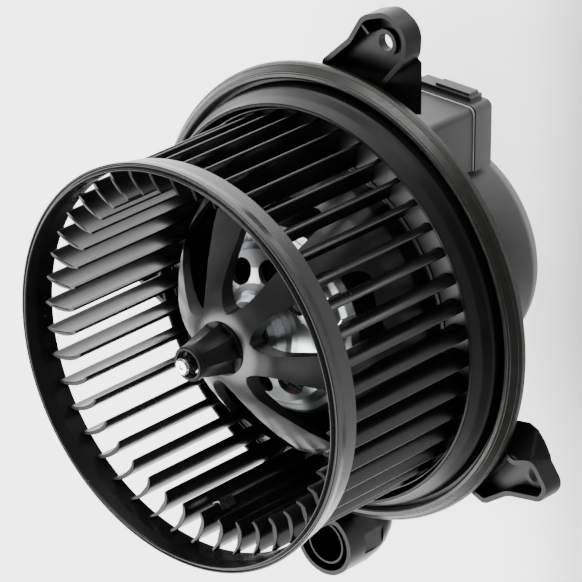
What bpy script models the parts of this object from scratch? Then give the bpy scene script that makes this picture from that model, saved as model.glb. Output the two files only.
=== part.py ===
"""Heater blower: a motor with a squirrel-cage fan wheel on a round mounting flange.

The shaft is the Z axis and the wheel's open end points up (+Z). The flat back of the
rear cover stands on z = 0. Lengths below are millimetres; mesh data is built in metres.
Angles around the shaft are clockwise from +Y, as seen from the wheel's open end.
"""
import math

import bmesh
import bpy
from mathutils import Vector

MM = 0.001

# ---------------------------------------------------------------- driving dimensions
GAP = 0.35                    # space left between touching pieces
ROUND = 40                    # facets around a large round
ROUND_SMALL = 14              # facets around a small round

# wheel
RING_FRONT_Z = 150.0
RING_REAR_Z = 138.0
RING_FRONT_R = 75.0
RING_REAR_R = 72.9
RING_BORE_R = 71.5
BLADE_COUNT = 44
BLADE_PHASE = -24.9           # angle of the first blade's inner edge
BLADE_INNER_R = 60.3
BLADE_OUTER_R = RING_BORE_R - GAP
BLADE_CURVE_R = 8.4
BLADE_INNER_HEADING = -33.0   # blade direction at its inner edge, from the radius
BLADE_THICKNESS = 1.25
BLADE_NOSE_Z = 138.5          # front end of the inner edge
BLADE_SHOULDER_Z = 142.0      # front end of the outer edge
PLATE_TOP_Z = 76.0
PLATE_BOTTOM_Z = 73.6
PLATE_R = 72.3
BLADE_ROOT_Z = PLATE_TOP_Z - 1.0  # the blades' feet are sunk in the base ring
HUB_SEAT_R = 59.0             # the hub ends and the cage's base ring starts
BOSS_TOP_Z = 144.0
BOSS_TOP_R = 6.4
BOSS_BASE_Z = 125.5
BOSS_BASE_R = 10.4
BOSS_FLUTES = 8
HUB_WINDOWS = 6
WINDOW_PHASE = 7.0
WINDOW_HALF_ANGLE = 18.5
WINDOW_INNER_R = 13.7
WINDOW_FULL_R = 23.0
WINDOW_OUTER_R = 50.0

# rotor
SHAFT_R = 3.0
SHAFT_BORE_R = SHAFT_R + GAP
SHAFT_TOP_Z = 147.2
SHAFT_BOTTOM_Z = 9.0
CORE_R = 24.5
CORE_TOP_Z = 82.0
CORE_BOTTOM_Z = 48.0
CORE_SLOTS = 12
COMMUTATOR_R = 11.0
COMMUTATOR_TOP_Z = 38.5
COMMUTATOR_BOTTOM_Z = 25.5
COMMUTATOR_BARS = 24

# motor case
CAN_R = 35.5
CAN_WALL = 1.4
CAN_SHOULDER_Z = 94.0
CAN_FACE_Z = 99.5
CAN_FACE_R = 30.3
CAN_NOSE_TOP_Z = 113.5
CAN_NOSE_R = 12.0
CAN_REAR_Z = 21.0
MAGNET_OUTER_R = CAN_R - CAN_WALL - GAP
VENT_R = 21.5
VENT_HALF_RADIAL = 4.6
VENT_HALF_ACROSS = 5.6
VENT_ANGLES = (-33, 6, 45, 147, 186, 225)
BRUSH_Z = 31.0
BRUSH_SIZE = (11.0, 5.0, 7.0)  # length, width, height

# housing
FLANGE_PLATE_Z = (61.0, 63.5)
FLANGE_PLATE_R = 82.6         # the plate's edge, behind the rim
RIM_R = 84.5
RIM_BACK_Z = 64.3
SEAL_R = 86.1                 # the rubber seal caps the rim
SEAL_TOP_Z = 70.9
SEAL_BACK_Z = 64.9
BOWL_LIP_R = 73.4
BOWL_LIP_Z = 80.8
RIDGE_R = 78.5
RIDGE_Z = 73.2
MOTOR_HOLE_R = 37.6
COVER_R = 43.0
COVER_WALL = 2.2
COVER_TOP_Z = FLANGE_PLATE_Z[0] - GAP
EAR_FLOOR_Z = 54.5
EAR_TOP_Z = 62.9
EAR_PAD_Z = 58.0              # top of the raised pad round each screw hole
EAR_WALL = 1.9
EAR_HOLE_R = 3.1
LEFT_EAR_TURN = 14.0          # the left ear is the right one mirrored, then turned this far
DUCT_CENTRE = (1.8, -97.1)
DUCT_R = 13.0
DUCT_WALL = 1.8
DUCT_MOUTH_Z = 75.0
DUCT_SEAT_Z = 62.0            # the duct's straight part ends here
DUCT_LOW_Z = 51.0             # height of the duct's axis where it enters the cover
DUCT_LOW_HALF = (12.0, 5.8)   # half width and half height there
DUCT_SIDES = 24
RIM_CLEARANCE_R = SEAL_R + GAP + 0.05
BOX_X = (-13.5, 23.0)
BOX_Y_TOP = 66.0
BOX_SPLIT_Z = 20.0
BOX_BACK_Z = 10.5
SOCKET_FLOOR_Z = 38.0
SOCKET_X = (-10.0, 19.0)
SOCKET_Y = (49.0, 62.0)


# ---------------------------------------------------------------- helpers
def clear_scene():
    """Remove every object the file opened with."""
    for item in list(bpy.data.objects):
        bpy.data.objects.remove(item, do_unlink=True)


def material(name, colour, roughness, metallic=0.0):
    """Principled BSDF with one colour."""
    mat = bpy.data.materials.new(name)
    mat.use_nodes = True
    shader = mat.node_tree.nodes["Principled BSDF"]
    shader.inputs["Base Color"].default_value = (*colour, 1.0)
    shader.inputs["Roughness"].default_value = roughness
    shader.inputs["Metallic"].default_value = metallic
    return mat


def clock(radius, angle_deg):
    """Point on a circle about the shaft, angle clockwise from +Y."""
    a = math.radians(angle_deg)
    return radius * math.sin(a), radius * math.cos(a)


def finish(name, bm, look, smooth_deg=35.0):
    """Turn a bmesh in millimetres into a smooth-shaded object with closed, outward faces."""
    bmesh.ops.scale(bm, vec=(MM, MM, MM), verts=bm.verts)
    bmesh.ops.remove_doubles(bm, verts=bm.verts, dist=1e-6)
    bmesh.ops.recalc_face_normals(bm, faces=bm.faces)
    mesh = bpy.data.meshes.new(name)
    bm.to_mesh(mesh)
    bm.free()
    mesh.shade_smooth()
    mesh.set_sharp_from_angle(angle=math.radians(smooth_deg))
    obj = bpy.data.objects.new(name, mesh)
    bpy.context.scene.collection.objects.link(obj)
    if look is not None:
        mesh.materials.append(look)
    return obj


def add_rings(bm, rings, closed=False):
    """Skin a list of equal-length vertex loops; a loop of one point is a pole."""
    loops = [[bm.verts.new(p) for p in ring] for ring in rings]
    pairs = list(zip(loops, loops[1:]))
    if closed:
        pairs.append((loops[-1], loops[0]))
    for low, high in pairs:
        count = max(len(low), len(high))
        if count == 1:
            continue
        for i in range(count):
            j = (i + 1) % count
            corners = [low[i % len(low)], low[j % len(low)], high[j % len(high)], high[i % len(high)]]
            face = []
            for vert in corners:
                if vert not in face:
                    face.append(vert)
            bm.faces.new(face)
    return loops


def add_lathe(bm, profile, segments, centre=(0.0, 0.0), wobble=None):
    """Spin a closed (radius, z) outline about Z. Radius 0 at both ends makes a solid."""
    rings = []
    for radius, z in profile:
        if radius == 0:
            rings.append([(centre[0], centre[1], z)])
            continue
        ring = []
        for i in range(segments):
            a = 2 * math.pi * i / segments
            r = radius if wobble is None else wobble(radius, z, a)
            ring.append((centre[0] + r * math.sin(a), centre[1] + r * math.cos(a), z))
        rings.append(ring)
    add_rings(bm, rings, closed=profile[0][0] != 0)


def lathe(name, profile, look, segments=ROUND, centre=(0.0, 0.0), wobble=None, smooth_deg=35.0):
    """One object from one spun outline."""
    bm = bmesh.new()
    add_lathe(bm, profile, segments, centre, wobble)
    return finish(name, bm, look, smooth_deg)


def tube_profile(inner_r, outer_r, z_low, z_high, chamfer=0.0):
    """Outline of a plain tube, with its outer corners chamfered."""
    c = chamfer
    outline = [(inner_r, z_low), (outer_r - c, z_low), (outer_r, z_low + c)]
    outline += [(outer_r, z_high - c), (outer_r - c, z_high), (inner_r, z_high)]
    return outline if c else [p for i, p in enumerate(outline) if i not in (2, 4)]


def add_prism(bm, outline, z_low, z_high):
    """Extrude a closed XY outline between two heights."""
    base = [bm.verts.new((x, y, z_low)) for x, y in outline]
    top = [bm.verts.new((x, y, z_high)) for x, y in outline]
    bm.faces.new(base[::-1])
    bm.faces.new(top)
    for i in range(len(base)):
        j = (i + 1) % len(base)
        bm.faces.new((base[i], base[j], top[j], top[i]))


def add_box(bm, x_range, y_range, z_range):
    """Axis-aligned block."""
    (x0, x1), (y0, y1) = x_range, y_range
    add_prism(bm, [(x0, y0), (x1, y0), (x1, y1), (x0, y1)], *z_range)


def prism(name, outline, z_low, z_high, look=None):
    """One object from one extruded outline."""
    bm = bmesh.new()
    add_prism(bm, outline, z_low, z_high)
    return finish(name, bm, look)


def circle(centre, radius, segments=ROUND_SMALL):
    """XY points around a circle."""
    steps = [2 * math.pi * i / segments for i in range(segments)]
    return [(centre[0] + radius * math.cos(a), centre[1] + radius * math.sin(a)) for a in steps]


def rounded(corners, steps=5):
    """XY outline from (x, y, fillet radius) corners."""
    points = []
    count = len(corners)
    for i, (x, y, radius) in enumerate(corners):
        if radius == 0:
            points.append((x, y))
            continue
        ends = []
        for other in (corners[i - 1], corners[(i + 1) % count]):
            dx, dy = other[0] - x, other[1] - y
            length = math.hypot(dx, dy)
            ends.append((dx / length, dy / length, length))
        (ax, ay, al), (bx, by, bl) = ends
        half = math.acos(max(-1.0, min(1.0, ax * bx + ay * by))) / 2
        reach = min(radius / math.tan(half), 0.49 * al, 0.49 * bl)
        r = reach * math.tan(half)
        mx, my = ax + bx, ay + by
        scale = r / math.sin(half) / math.hypot(mx, my)
        cx, cy = x + mx * scale, y + my * scale
        start = math.atan2(y + ay * reach - cy, x + ax * reach - cx)
        stop = math.atan2(y + by * reach - cy, x + bx * reach - cx)
        sweep = (stop - start + math.pi) % (2 * math.pi) - math.pi
        for k in range(steps + 1):
            a = start + sweep * k / steps
            points.append((cx + r * math.cos(a), cy + r * math.sin(a)))
    return points


def inset(outline, distance):
    """Move an outline inwards by a distance, corner by corner."""
    area = sum(x0 * y1 - x1 * y0 for (x0, y0), (x1, y1) in zip(outline, outline[1:] + outline[:1]))
    side = 1.0 if area > 0 else -1.0
    moved = []
    for i, (x, y) in enumerate(outline):
        px, py = outline[i - 1]
        qx, qy = outline[(i + 1) % len(outline)]
        ax, ay = x - px, y - py
        bx, by = qx - x, qy - y
        la, lb = math.hypot(ax, ay), math.hypot(bx, by)
        nx, ny = -(ay / la + by / lb) * side, (ax / la + bx / lb) * side
        length = math.hypot(nx, ny)
        cosine = max(0.5, length / 2)
        moved.append((x + nx / length * distance / cosine, y + ny / length * distance / cosine))
    return moved


def boolean(target, tools, operation):
    """Union with, or cut by, other objects, which are kept as hidden helpers."""
    for tool in tools:
        modifier = target.modifiers.new(operation.lower() + "_" + tool.name, 'BOOLEAN')
        modifier.operation = operation
        modifier.object = tool
        modifier.solver = 'EXACT'
        tool.hide_render = True
        tool.display_type = 'WIRE'


def tube_along(bm, path, radius, sides):
    """Closed round bar along 3D points."""
    points = [Vector(p) for p in path]
    rings = []
    normal = None
    for i, point in enumerate(points):
        ahead = points[min(i + 1, len(points) - 1)] - points[max(i - 1, 0)]
        ahead.normalize()
        if normal is None:
            normal = ahead.orthogonal().normalized()
        normal = (normal - ahead * normal.dot(ahead)).normalized()
        across = ahead.cross(normal)
        ring = []
        for k in range(sides):
            a = 2 * math.pi * k / sides
            ring.append(point + normal * (radius * math.cos(a)) + across * (radius * math.sin(a)))
        rings.append(ring)
    rings = [[points[0]]] + rings + [[points[-1]]]
    add_rings(bm, rings)


# ---------------------------------------------------------------- wheel
def ring_outline():
    """Front ring section: a tapered band with a grooved, rounded front bead."""
    z = RING_FRONT_Z
    return [
        (RING_BORE_R, RING_REAR_Z), (RING_BORE_R + 0.4, z - 3.0), (72.1, z + 0.7), (72.6, z + 1.2),
        (73.1, z + 0.6), (73.7, z - 0.3), (74.6, z), (RING_FRONT_R, z - 0.6), (74.2, z - 3.2),
        (RING_REAR_R, RING_REAR_Z + 0.4), (RING_REAR_R - 0.4, RING_REAR_Z),
    ]


def blade_section():
    """Blade section in (radius, clockwise offset): a thin arc with rounded ends."""
    start = math.radians(BLADE_INNER_HEADING)
    reach = (BLADE_OUTER_R - 0.3 - BLADE_INNER_R) / BLADE_CURVE_R
    stop = math.asin(reach + math.sin(start))
    steps = 5
    spine = []
    for i in range(steps + 1):
        a = start + (stop - start) * i / steps
        r = BLADE_INNER_R + BLADE_CURVE_R * (math.sin(a) - math.sin(start))
        t = BLADE_CURVE_R * (math.cos(start) - math.cos(a))
        spine.append((r, t, a, i / steps))
    section = []
    for side in (1, -1):
        walk = spine if side == 1 else spine[::-1]
        for r, t, a, along in walk:
            half = BLADE_THICKNESS / 2 * (0.62 + 0.38 * math.sin(math.pi * along))
            section.append((r - side * half * math.sin(a), t + side * half * math.cos(a)))
    return section


def make_cage(look):
    """The wheel's cage: thin curved blades standing on a flat base ring, one moulding."""
    base_ring = [(HUB_SEAT_R + GAP, PLATE_BOTTOM_Z), (PLATE_R - 0.4, PLATE_BOTTOM_Z)]
    base_ring += [(PLATE_R, PLATE_BOTTOM_Z + 0.4), (PLATE_R, PLATE_TOP_Z), (HUB_SEAT_R + GAP, PLATE_TOP_Z)]
    cage = lathe("wheel_cage", base_ring, look, smooth_deg=50.0)
    section = blade_section()
    slope = (BLADE_SHOULDER_Z - BLADE_NOSE_Z) / (BLADE_OUTER_R - BLADE_INNER_R) ** 2
    bm = bmesh.new()
    for i in range(BLADE_COUNT):
        a = math.radians(BLADE_PHASE + 360.0 * i / BLADE_COUNT)
        out = (math.sin(a), math.cos(a))
        side = (math.cos(a), -math.sin(a))
        root, nose = [], []
        for r, t in section:
            x, y = r * out[0] + t * side[0], r * out[1] + t * side[1]
            root.append((x, y, BLADE_ROOT_Z))
            nose.append((x, y, BLADE_NOSE_Z + slope * max(0.0, r - BLADE_INNER_R) ** 2))
        loops = add_rings(bm, [root, nose])
        bm.faces.new(loops[0][::-1])
        bm.faces.new(loops[1])
    boolean(cage, [finish("joiner_blades", bm, look, 50.0)], 'UNION')
    return cage


def hub_outline():
    """Hub section: boss with a counterbore, bell-shaped dome and flat base plate."""
    dome = [(11.8, 123.8), (20.0, 120.0), (30.0, 114.0), (40.0, 106.0), (47.5, 98.0)]
    dome += [(52.5, 90.5), (55.8, 83.0), (57.6, PLATE_TOP_Z)]
    outside = [(5.9, BOSS_TOP_Z), (BOSS_TOP_R, BOSS_TOP_Z - 0.5)]
    outside += [(7.6, 138.0), (9.0, 131.5), (BOSS_BASE_R, BOSS_BASE_Z)] + dome
    outside += [(HUB_SEAT_R, PLATE_TOP_Z), (HUB_SEAT_R, PLATE_BOTTOM_Z)]
    inside = [(55.2, PLATE_BOTTOM_Z), (53.3, 82.6), (50.2, 89.5), (45.5, 96.5)]
    inside += [(38.4, 104.0), (28.8, 111.6), (19.2, 117.5), (9.0, 120.4)]
    bore = [(7.4, 116.0), (SHAFT_BORE_R, 116.0), (SHAFT_BORE_R, 140.5), (4.9, 140.5), (4.9, BOSS_TOP_Z)]
    return outside + inside + bore


def fluted(radius, z, angle):
    """Lengthwise flutes around the boss, deepest at its foot."""
    on_boss = BOSS_BASE_Z - 0.1 < z < BOSS_TOP_Z - 0.2 and radius > 5.0
    if not on_boss:
        return radius
    depth = 1.3 * (BOSS_TOP_Z - z) / (BOSS_TOP_Z - BOSS_BASE_Z)
    return radius - depth * (0.5 + 0.5 * math.cos(BOSS_FLUTES * angle))


def window_outline(centre_angle):
    """One hub window seen along the shaft: a round inner end, straight radial sides."""
    span = WINDOW_FULL_R - WINDOW_INNER_R
    inner = []
    for i in range(7):
        r = WINDOW_INNER_R + span * (1 - math.cos(math.radians(90.0 * i / 6)))
        half = WINDOW_HALF_ANGLE * math.sqrt(1 - ((WINDOW_FULL_R - r) / span) ** 2)
        inner.append((r, half))
    outer = [(WINDOW_OUTER_R - 5, WINDOW_HALF_ANGLE)]
    outer += [(WINDOW_OUTER_R - 2, WINDOW_HALF_ANGLE - 2.2), (WINDOW_OUTER_R, WINDOW_HALF_ANGLE - 6.5)]
    one_side = inner + outer
    right = [clock(r, centre_angle + half) for r, half in one_side]
    left = [clock(r, centre_angle - half) for r, half in reversed(one_side[1:])]
    return right + left


def make_hub(look):
    """Boss, dome and base plate, with six windows cut in the dome."""
    hub = lathe("wheel_hub", hub_outline(), look, segments=ROUND, wobble=fluted, smooth_deg=40.0)
    bm = bmesh.new()
    for i in range(HUB_WINDOWS):
        add_prism(bm, window_outline(WINDOW_PHASE + 360.0 * i / HUB_WINDOWS), 84.0, 130.0)
    boolean(hub, [finish("cutter_hub_windows", bm, None)], 'DIFFERENCE')
    return hub


def make_lock_clip(look):
    """Toothed spring washer that holds the wheel on the shaft, in the boss's counterbore."""
    bm = bmesh.new()
    teeth = 24
    outer, inner = [], []
    for i in range(teeth):
        inner.append(clock(SHAFT_BORE_R + (0.0 if i % 4 < 2 else 0.55), 360.0 * i / teeth))
        outer.append(clock(4.5, 360.0 * i / teeth))
    rings = []
    for points, z in ((inner, 140.9), (outer, 140.9), (outer, 141.6), (inner, 142.0)):
        rings.append([(x, y, z) for x, y in points])
    add_rings(bm, rings, closed=True)
    return finish("wheel_lock_clip", bm, look)


def make_balance_clip(name, blade, z, look):
    """Small steel U-clip on a blade's inner edge, set when the wheel is balanced."""
    a = math.radians(BLADE_PHASE + 360.0 / BLADE_COUNT * blade)
    out = (math.sin(a), math.cos(a))
    side = (math.cos(a), -math.sin(a))
    heading = math.radians(BLADE_INNER_HEADING)
    along = (math.cos(heading), math.sin(heading))
    across = (-along[1], along[0])
    near, far, inner, outer = -0.9, 2.4, 1.35, 1.75
    shape = [(near - 0.4, -outer), (far, -outer), (far, -inner), (near, -inner)]
    shape += [(near, inner), (far, inner), (far, outer), (near - 0.4, outer)]
    outline = []
    for u, v in shape:
        r = BLADE_INNER_R + u * along[0] + v * across[0]
        t = u * along[1] + v * across[1]
        outline.append((r * out[0] + t * side[0], r * out[1] + t * side[1]))
    return prism(name, outline, z, z + 7.0, look)


# ---------------------------------------------------------------- rotor
def make_shaft(look):
    """Steel shaft with a flat along its front end."""
    c = 0.5
    profile = [(0, SHAFT_BOTTOM_Z), (SHAFT_R - c, SHAFT_BOTTOM_Z), (SHAFT_R, SHAFT_BOTTOM_Z + c)]
    profile += [(SHAFT_R, SHAFT_TOP_Z - c), (SHAFT_R - c, SHAFT_TOP_Z), (0, SHAFT_TOP_Z)]
    shaft = lathe("rotor_shaft", profile, look, segments=24)
    bm = bmesh.new()
    add_box(bm, (SHAFT_R - 0.6, SHAFT_R + 1.0), (-4.0, 4.0), (126.0, SHAFT_TOP_Z + 1.0))
    boolean(shaft, [finish("cutter_shaft_flat", bm, None)], 'DIFFERENCE')
    return shaft


def core_outline():
    """Armature lamination: T-shaped teeth around a round core."""
    points = []
    pitch = 360.0 / CORE_SLOTS
    for i in range(CORE_SLOTS):
        a = pitch * i
        for r, offset in ((CORE_R, -0.42), (CORE_R, 0.42), (CORE_R - 2.2, 0.42), (CORE_R - 2.6, 0.16),
                          (13.0, 0.16), (13.0, 0.84), (CORE_R - 2.6, 0.84), (CORE_R - 2.2, 0.58)):
            points.append(clock(r, a + offset * pitch))
    return points


def make_core(look):
    """Laminated armature core pressed on the shaft."""
    core = prism("armature_core", core_outline(), CORE_BOTTOM_Z, CORE_TOP_Z, look)
    bore = prism("cutter_core_bore", circle((0, 0), SHAFT_BORE_R, 16), CORE_BOTTOM_Z - 5, CORE_TOP_Z + 5)
    boolean(core, [bore], 'DIFFERENCE')
    return core


def make_winding(name, z, way, look):
    """Copper end turns at one end of the core."""
    def lobes(radius, _z, angle):
        return radius + (0.9 * math.cos(CORE_SLOTS * angle) if radius > 15.0 else 0.0)

    profile = [(6.5, z), (21.0, z), (22.0, z + 2.0 * way), (20.5, z + 5.5 * way)]
    profile += [(16.0, z + 7.5 * way), (6.5, z + 6.0 * way)]
    return lathe(name, profile, look, segments=24, wobble=lobes, smooth_deg=60.0)


def make_commutator(look):
    """Copper commutator with a groove between each pair of bars."""
    def grooves(radius, z, angle):
        step = round(angle / (2 * math.pi) * COMMUTATOR_BARS * 2)
        return radius - (0.5 if radius > 10.0 and step % 2 else 0.0)

    profile = tube_profile(SHAFT_BORE_R, COMMUTATOR_R, COMMUTATOR_BOTTOM_Z, COMMUTATOR_TOP_Z)
    return lathe("commutator", profile, look, segments=COMMUTATOR_BARS * 2, wobble=grooves)


def make_thrust_washer(name, z, look):
    """Low-friction washer between the rotor and a bearing."""
    return lathe(name, tube_profile(SHAFT_BORE_R, 6.0, z, z + 1.2), look, segments=ROUND_SMALL)


# ---------------------------------------------------------------- motor case
def can_outline():
    """Drawn steel case: stepped nose, vented face, rounded shoulder and straight side."""
    w = CAN_WALL
    outside = [(5.0, CAN_NOSE_TOP_Z), (9.8, CAN_NOSE_TOP_Z), (CAN_NOSE_R, 112.0)]
    outside += [(14.6, 106.6), (16.6, 105.2), (28.6, 101.2), (CAN_FACE_R, CAN_FACE_Z)]
    outside += [(30.9, 97.0), (34.4, 95.4), (CAN_R, CAN_SHOULDER_Z), (CAN_R, CAN_REAR_Z)]
    inside = [(CAN_R - w, CAN_REAR_Z), (CAN_R - w, 93.6), (29.4, 96.2)]
    inside += [(28.4, 99.6), (15.6, 103.8), (13.2, 105.6), (10.8, 111.2), (9.2, 112.1), (5.0, 112.1)]
    return outside + inside


def make_can(look):
    """Motor case with two groups of three vents in its front face."""
    can = lathe("motor_can", can_outline(), look, segments=36, smooth_deg=28.0)
    bm = bmesh.new()
    for a in VENT_ANGLES:
        ux, uy = clock(1.0, a)
        points = []
        for i in range(14):
            t = 2 * math.pi * i / 14
            radial, across = VENT_R + VENT_HALF_RADIAL * math.cos(t), VENT_HALF_ACROSS * math.sin(t)
            points.append((radial * ux + across * uy, radial * uy - across * ux))
        add_prism(bm, points, 96.6, 108.0)
    boolean(can, [finish("cutter_can_vents", bm, None)], 'DIFFERENCE')
    return can


def arc_points(radius, angle_from, angle_to, steps):
    """Points along an arc about the shaft."""
    return [clock(radius, angle_from + (angle_to - angle_from) * i / steps) for i in range(steps + 1)]


def make_magnet(name, centre, look):
    """Ferrite arc magnet inside the can."""
    outline = arc_points(MAGNET_OUTER_R, centre - 62, centre + 62, 14)
    outline += arc_points(26.6, centre + 62, centre - 62, 14)
    return prism(name, outline, 43.0, 88.0, look)


def make_magnet_clip(name, centre, look):
    """Bent spring strip that pushes the two magnets apart."""
    outline = arc_points(MAGNET_OUTER_R, centre - 26.5, centre + 26.5, 6)
    outline += [clock(27.4, centre + 26.5), clock(27.4, centre + 24.5)]
    outline += arc_points(MAGNET_OUTER_R - 1.0, centre + 24.5, centre - 24.5, 6)
    outline += [clock(27.4, centre - 24.5), clock(27.4, centre - 26.5)]
    return prism(name, outline, 50.0, 82.0, look)


def make_bearing(name, z_low, z_high, look):
    """Sintered bush with a rounded outside."""
    mid = (z_low + z_high) / 2
    profile = [(SHAFT_BORE_R, z_low), (5.6, z_low), (7.2, mid - 2.0), (7.5, mid), (7.2, mid + 2.0)]
    profile += [(5.6, z_high), (SHAFT_BORE_R, z_high)]
    return lathe(name, profile, look, segments=ROUND_SMALL)


def make_bearing_retainer(name, z, look):
    """Star washer that holds a bush in its seat."""
    def fingers(radius, _z, angle):
        return radius + (1.1 if radius < 9.0 and round(angle / (2 * math.pi) * 24) % 4 < 2 else 0.0)

    return lathe(name, tube_profile(7.8, 10.6, z, z + 0.6), look, segments=24, wobble=fingers)


def make_end_plate(look):
    """Steel rear plate of the motor, with the rear bearing's cup."""
    profile = [(SHAFT_BORE_R + 1.2, 7.4), (9.4, 7.4), (10.4, 8.6), (10.4, 15.4), (12.4, 17.0)]
    profile += [(CAN_R, 17.0), (CAN_R, CAN_REAR_Z - GAP), (11.6, CAN_REAR_Z - GAP)]
    profile += [(8.8, 18.4), (8.8, 9.4), (SHAFT_BORE_R + 1.2, 9.4)]
    return lathe("can_end_plate", profile, look, segments=28)


def make_brush_plate(look):
    """Moulded plate that carries the brush guides and chokes."""
    top = 25.2
    plate = lathe("brush_plate", tube_profile(14.0, 33.6, 22.4, top), look, segments=28)
    bm = bmesh.new()
    length, width, height = BRUSH_SIZE
    near, end, far = COMMUTATOR_R + 3.6, COMMUTATOR_R + 20.8, COMMUTATOR_R + 22.2
    slot, wall = width / 2 + GAP, width / 2 + GAP + 1.4
    guide = [(near, -wall), (far, -wall), (far, wall), (near, wall)]
    guide += [(near, slot), (end, slot), (end, -slot), (near, -slot)]
    for way in (1, -1):
        add_prism(bm, [(way * x, y) for x, y in guide], top - 1.0, BRUSH_Z + height / 2 + 0.6)
    boolean(plate, [finish("joiner_brush_guides", bm, None)], 'UNION')
    return plate


def make_brush(name, way, look):
    """Carbon brush on the commutator, with its own origin on its sliding line."""
    length, width, height = BRUSH_SIZE
    bm = bmesh.new()
    add_box(bm, (-length / 2, length / 2), (-width / 2, width / 2), (-height / 2, height / 2))
    brush = finish(name, bm, look)
    brush.location = (way * (COMMUTATOR_R + GAP + length / 2) * MM, 0.0, BRUSH_Z * MM)
    return brush


def make_brush_spring(name, way, look):
    """Coil spring between a brush and its guide's end wall."""
    start = COMMUTATOR_R + GAP + BRUSH_SIZE[0] + 0.6
    stop = COMMUTATOR_R + 20.8 - 0.6
    turns, steps = 4, 8
    path = []
    for i in range(turns * steps + 1):
        a = 2 * math.pi * i / steps
        x = start + (stop - start) * i / (turns * steps)
        path.append((way * x, 1.7 * math.cos(a), BRUSH_Z + 1.7 * math.sin(a)))
    bm = bmesh.new()
    tube_along(bm, path, 0.25, sides=4)
    return finish(name, bm, look)


def make_choke_part(name, y, inner_r, outer_r, half_length, look):
    """Round bar or sleeve lying along X on the brush plate: a choke's core or its coil."""
    z, count = 28.8, 12
    rings = []
    ends = ((inner_r, -half_length), (outer_r, -half_length), (outer_r, half_length), (inner_r, half_length))
    for r, x in ends:
        if r == 0:
            rings.append([(x, y, z)])
            continue
        steps = [2 * math.pi * k / count for k in range(count)]
        rings.append([(x, y + r * math.cos(a), z + r * math.sin(a)) for a in steps])
    bm = bmesh.new()
    add_rings(bm, rings, closed=inner_r > 0)
    return finish(name, bm, look)


# ---------------------------------------------------------------- housing
def flange_outline():
    """Flange section: bowl wall round the wheel's base, ridge, groove, rim and plate."""
    low, high = FLANGE_PLATE_Z
    inside = [(MOTOR_HOLE_R, low), (MOTOR_HOLE_R, high + 3.0), (MOTOR_HOLE_R + 2.0, high + 3.0)]
    inside += [(MOTOR_HOLE_R + 2.4, high), (BOWL_LIP_R - 3.0, high), (BOWL_LIP_R, high + 3.0)]
    inside += [(BOWL_LIP_R, BOWL_LIP_Z - 0.5)]
    outside = [(BOWL_LIP_R + 0.5, BOWL_LIP_Z), (BOWL_LIP_R + 1.4, BOWL_LIP_Z - 0.2)]
    outside += [(RIDGE_R - 0.4, RIDGE_Z + 0.3), (RIDGE_R, RIDGE_Z - 0.6), (79.0, 67.2), (81.5, 67.0)]
    outside += [(81.9, 69.4), (82.4, 69.6), (RIM_R, 66.0), (RIM_R, RIM_BACK_Z), (83.2, RIM_BACK_Z)]
    outside += [(FLANGE_PLATE_R, high), (FLANGE_PLATE_R, low + 0.5), (FLANGE_PLATE_R - 0.5, low)]
    return inside + outside


def top_ear_outline():
    """Mounting ear beside the connector: a rounded head on a sloping web."""
    return rounded([(-11.0, 79.0, 0), (-10.6, 86.0, 3), (1.2, 97.2, 6), (7.4, 107.6, 8), (18.5, 111.8, 8),
                    (28.2, 106.2, 8), (27.6, 95.5, 8), (19.0, 85.0, 4), (16.5, 79.0, 0)])


def right_ear_outline():
    """Mounting ear at the lower right."""
    return rounded([(72.0, -34.5, 0), (79.2, -40.8, 3), (88.4, -37.6, 5), (95.6, -47.4, 5), (92.4, -52.8, 4),
                    (77.5, -55.4, 10), (66.8, -62.6, 4), (61.6, -60.6, 2), (55.5, -56.5, 0)])


def left_ear(outline):
    """The right ear's points mirrored, then turned about the shaft."""
    turn = math.radians(LEFT_EAR_TURN)
    c, s = math.cos(turn), math.sin(turn)
    return [(-x * c + y * s, x * s + y * c) for x, y in outline]


# Each ear: its outline, its screw hole, and the top and foot of the web that braces it.
TOP_WEB = ([(14.0, 73.5), (18.0, 73.5), (20.5, 87.5), (14.0, 88.0)],
           [(14.0, 73.5), (28.2, 73.5), (28.2, 93.0), (24.0, 96.0), (14.0, 88.0)])
RIGHT_WEB = ([(72.0, -38.0), (79.2, -41.2), (87.0, -39.6), (80.0, -46.0), (72.0, -46.0)],
             [(69.0, -33.5), (74.4, -29.8), (80.2, -28.8), (84.0, -30.2), (87.2, -33.8), (89.8, -38.4),
              (91.0, -44.0), (70.0, -46.0)])
TOP_HOLE = (14.5, 97.8)
RIGHT_HOLE = (86.0, -46.0)


def add_web(bm, top, foot):
    """Solid brace with a smaller top outline and a wider foot."""
    corners = [(x, y, EAR_TOP_Z - 0.6) for x, y in top] + [(x, y, EAR_FLOOR_Z) for x, y in foot]
    verts = [bm.verts.new(corner) for corner in corners]
    bmesh.ops.convex_hull(bm, input=verts)


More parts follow.
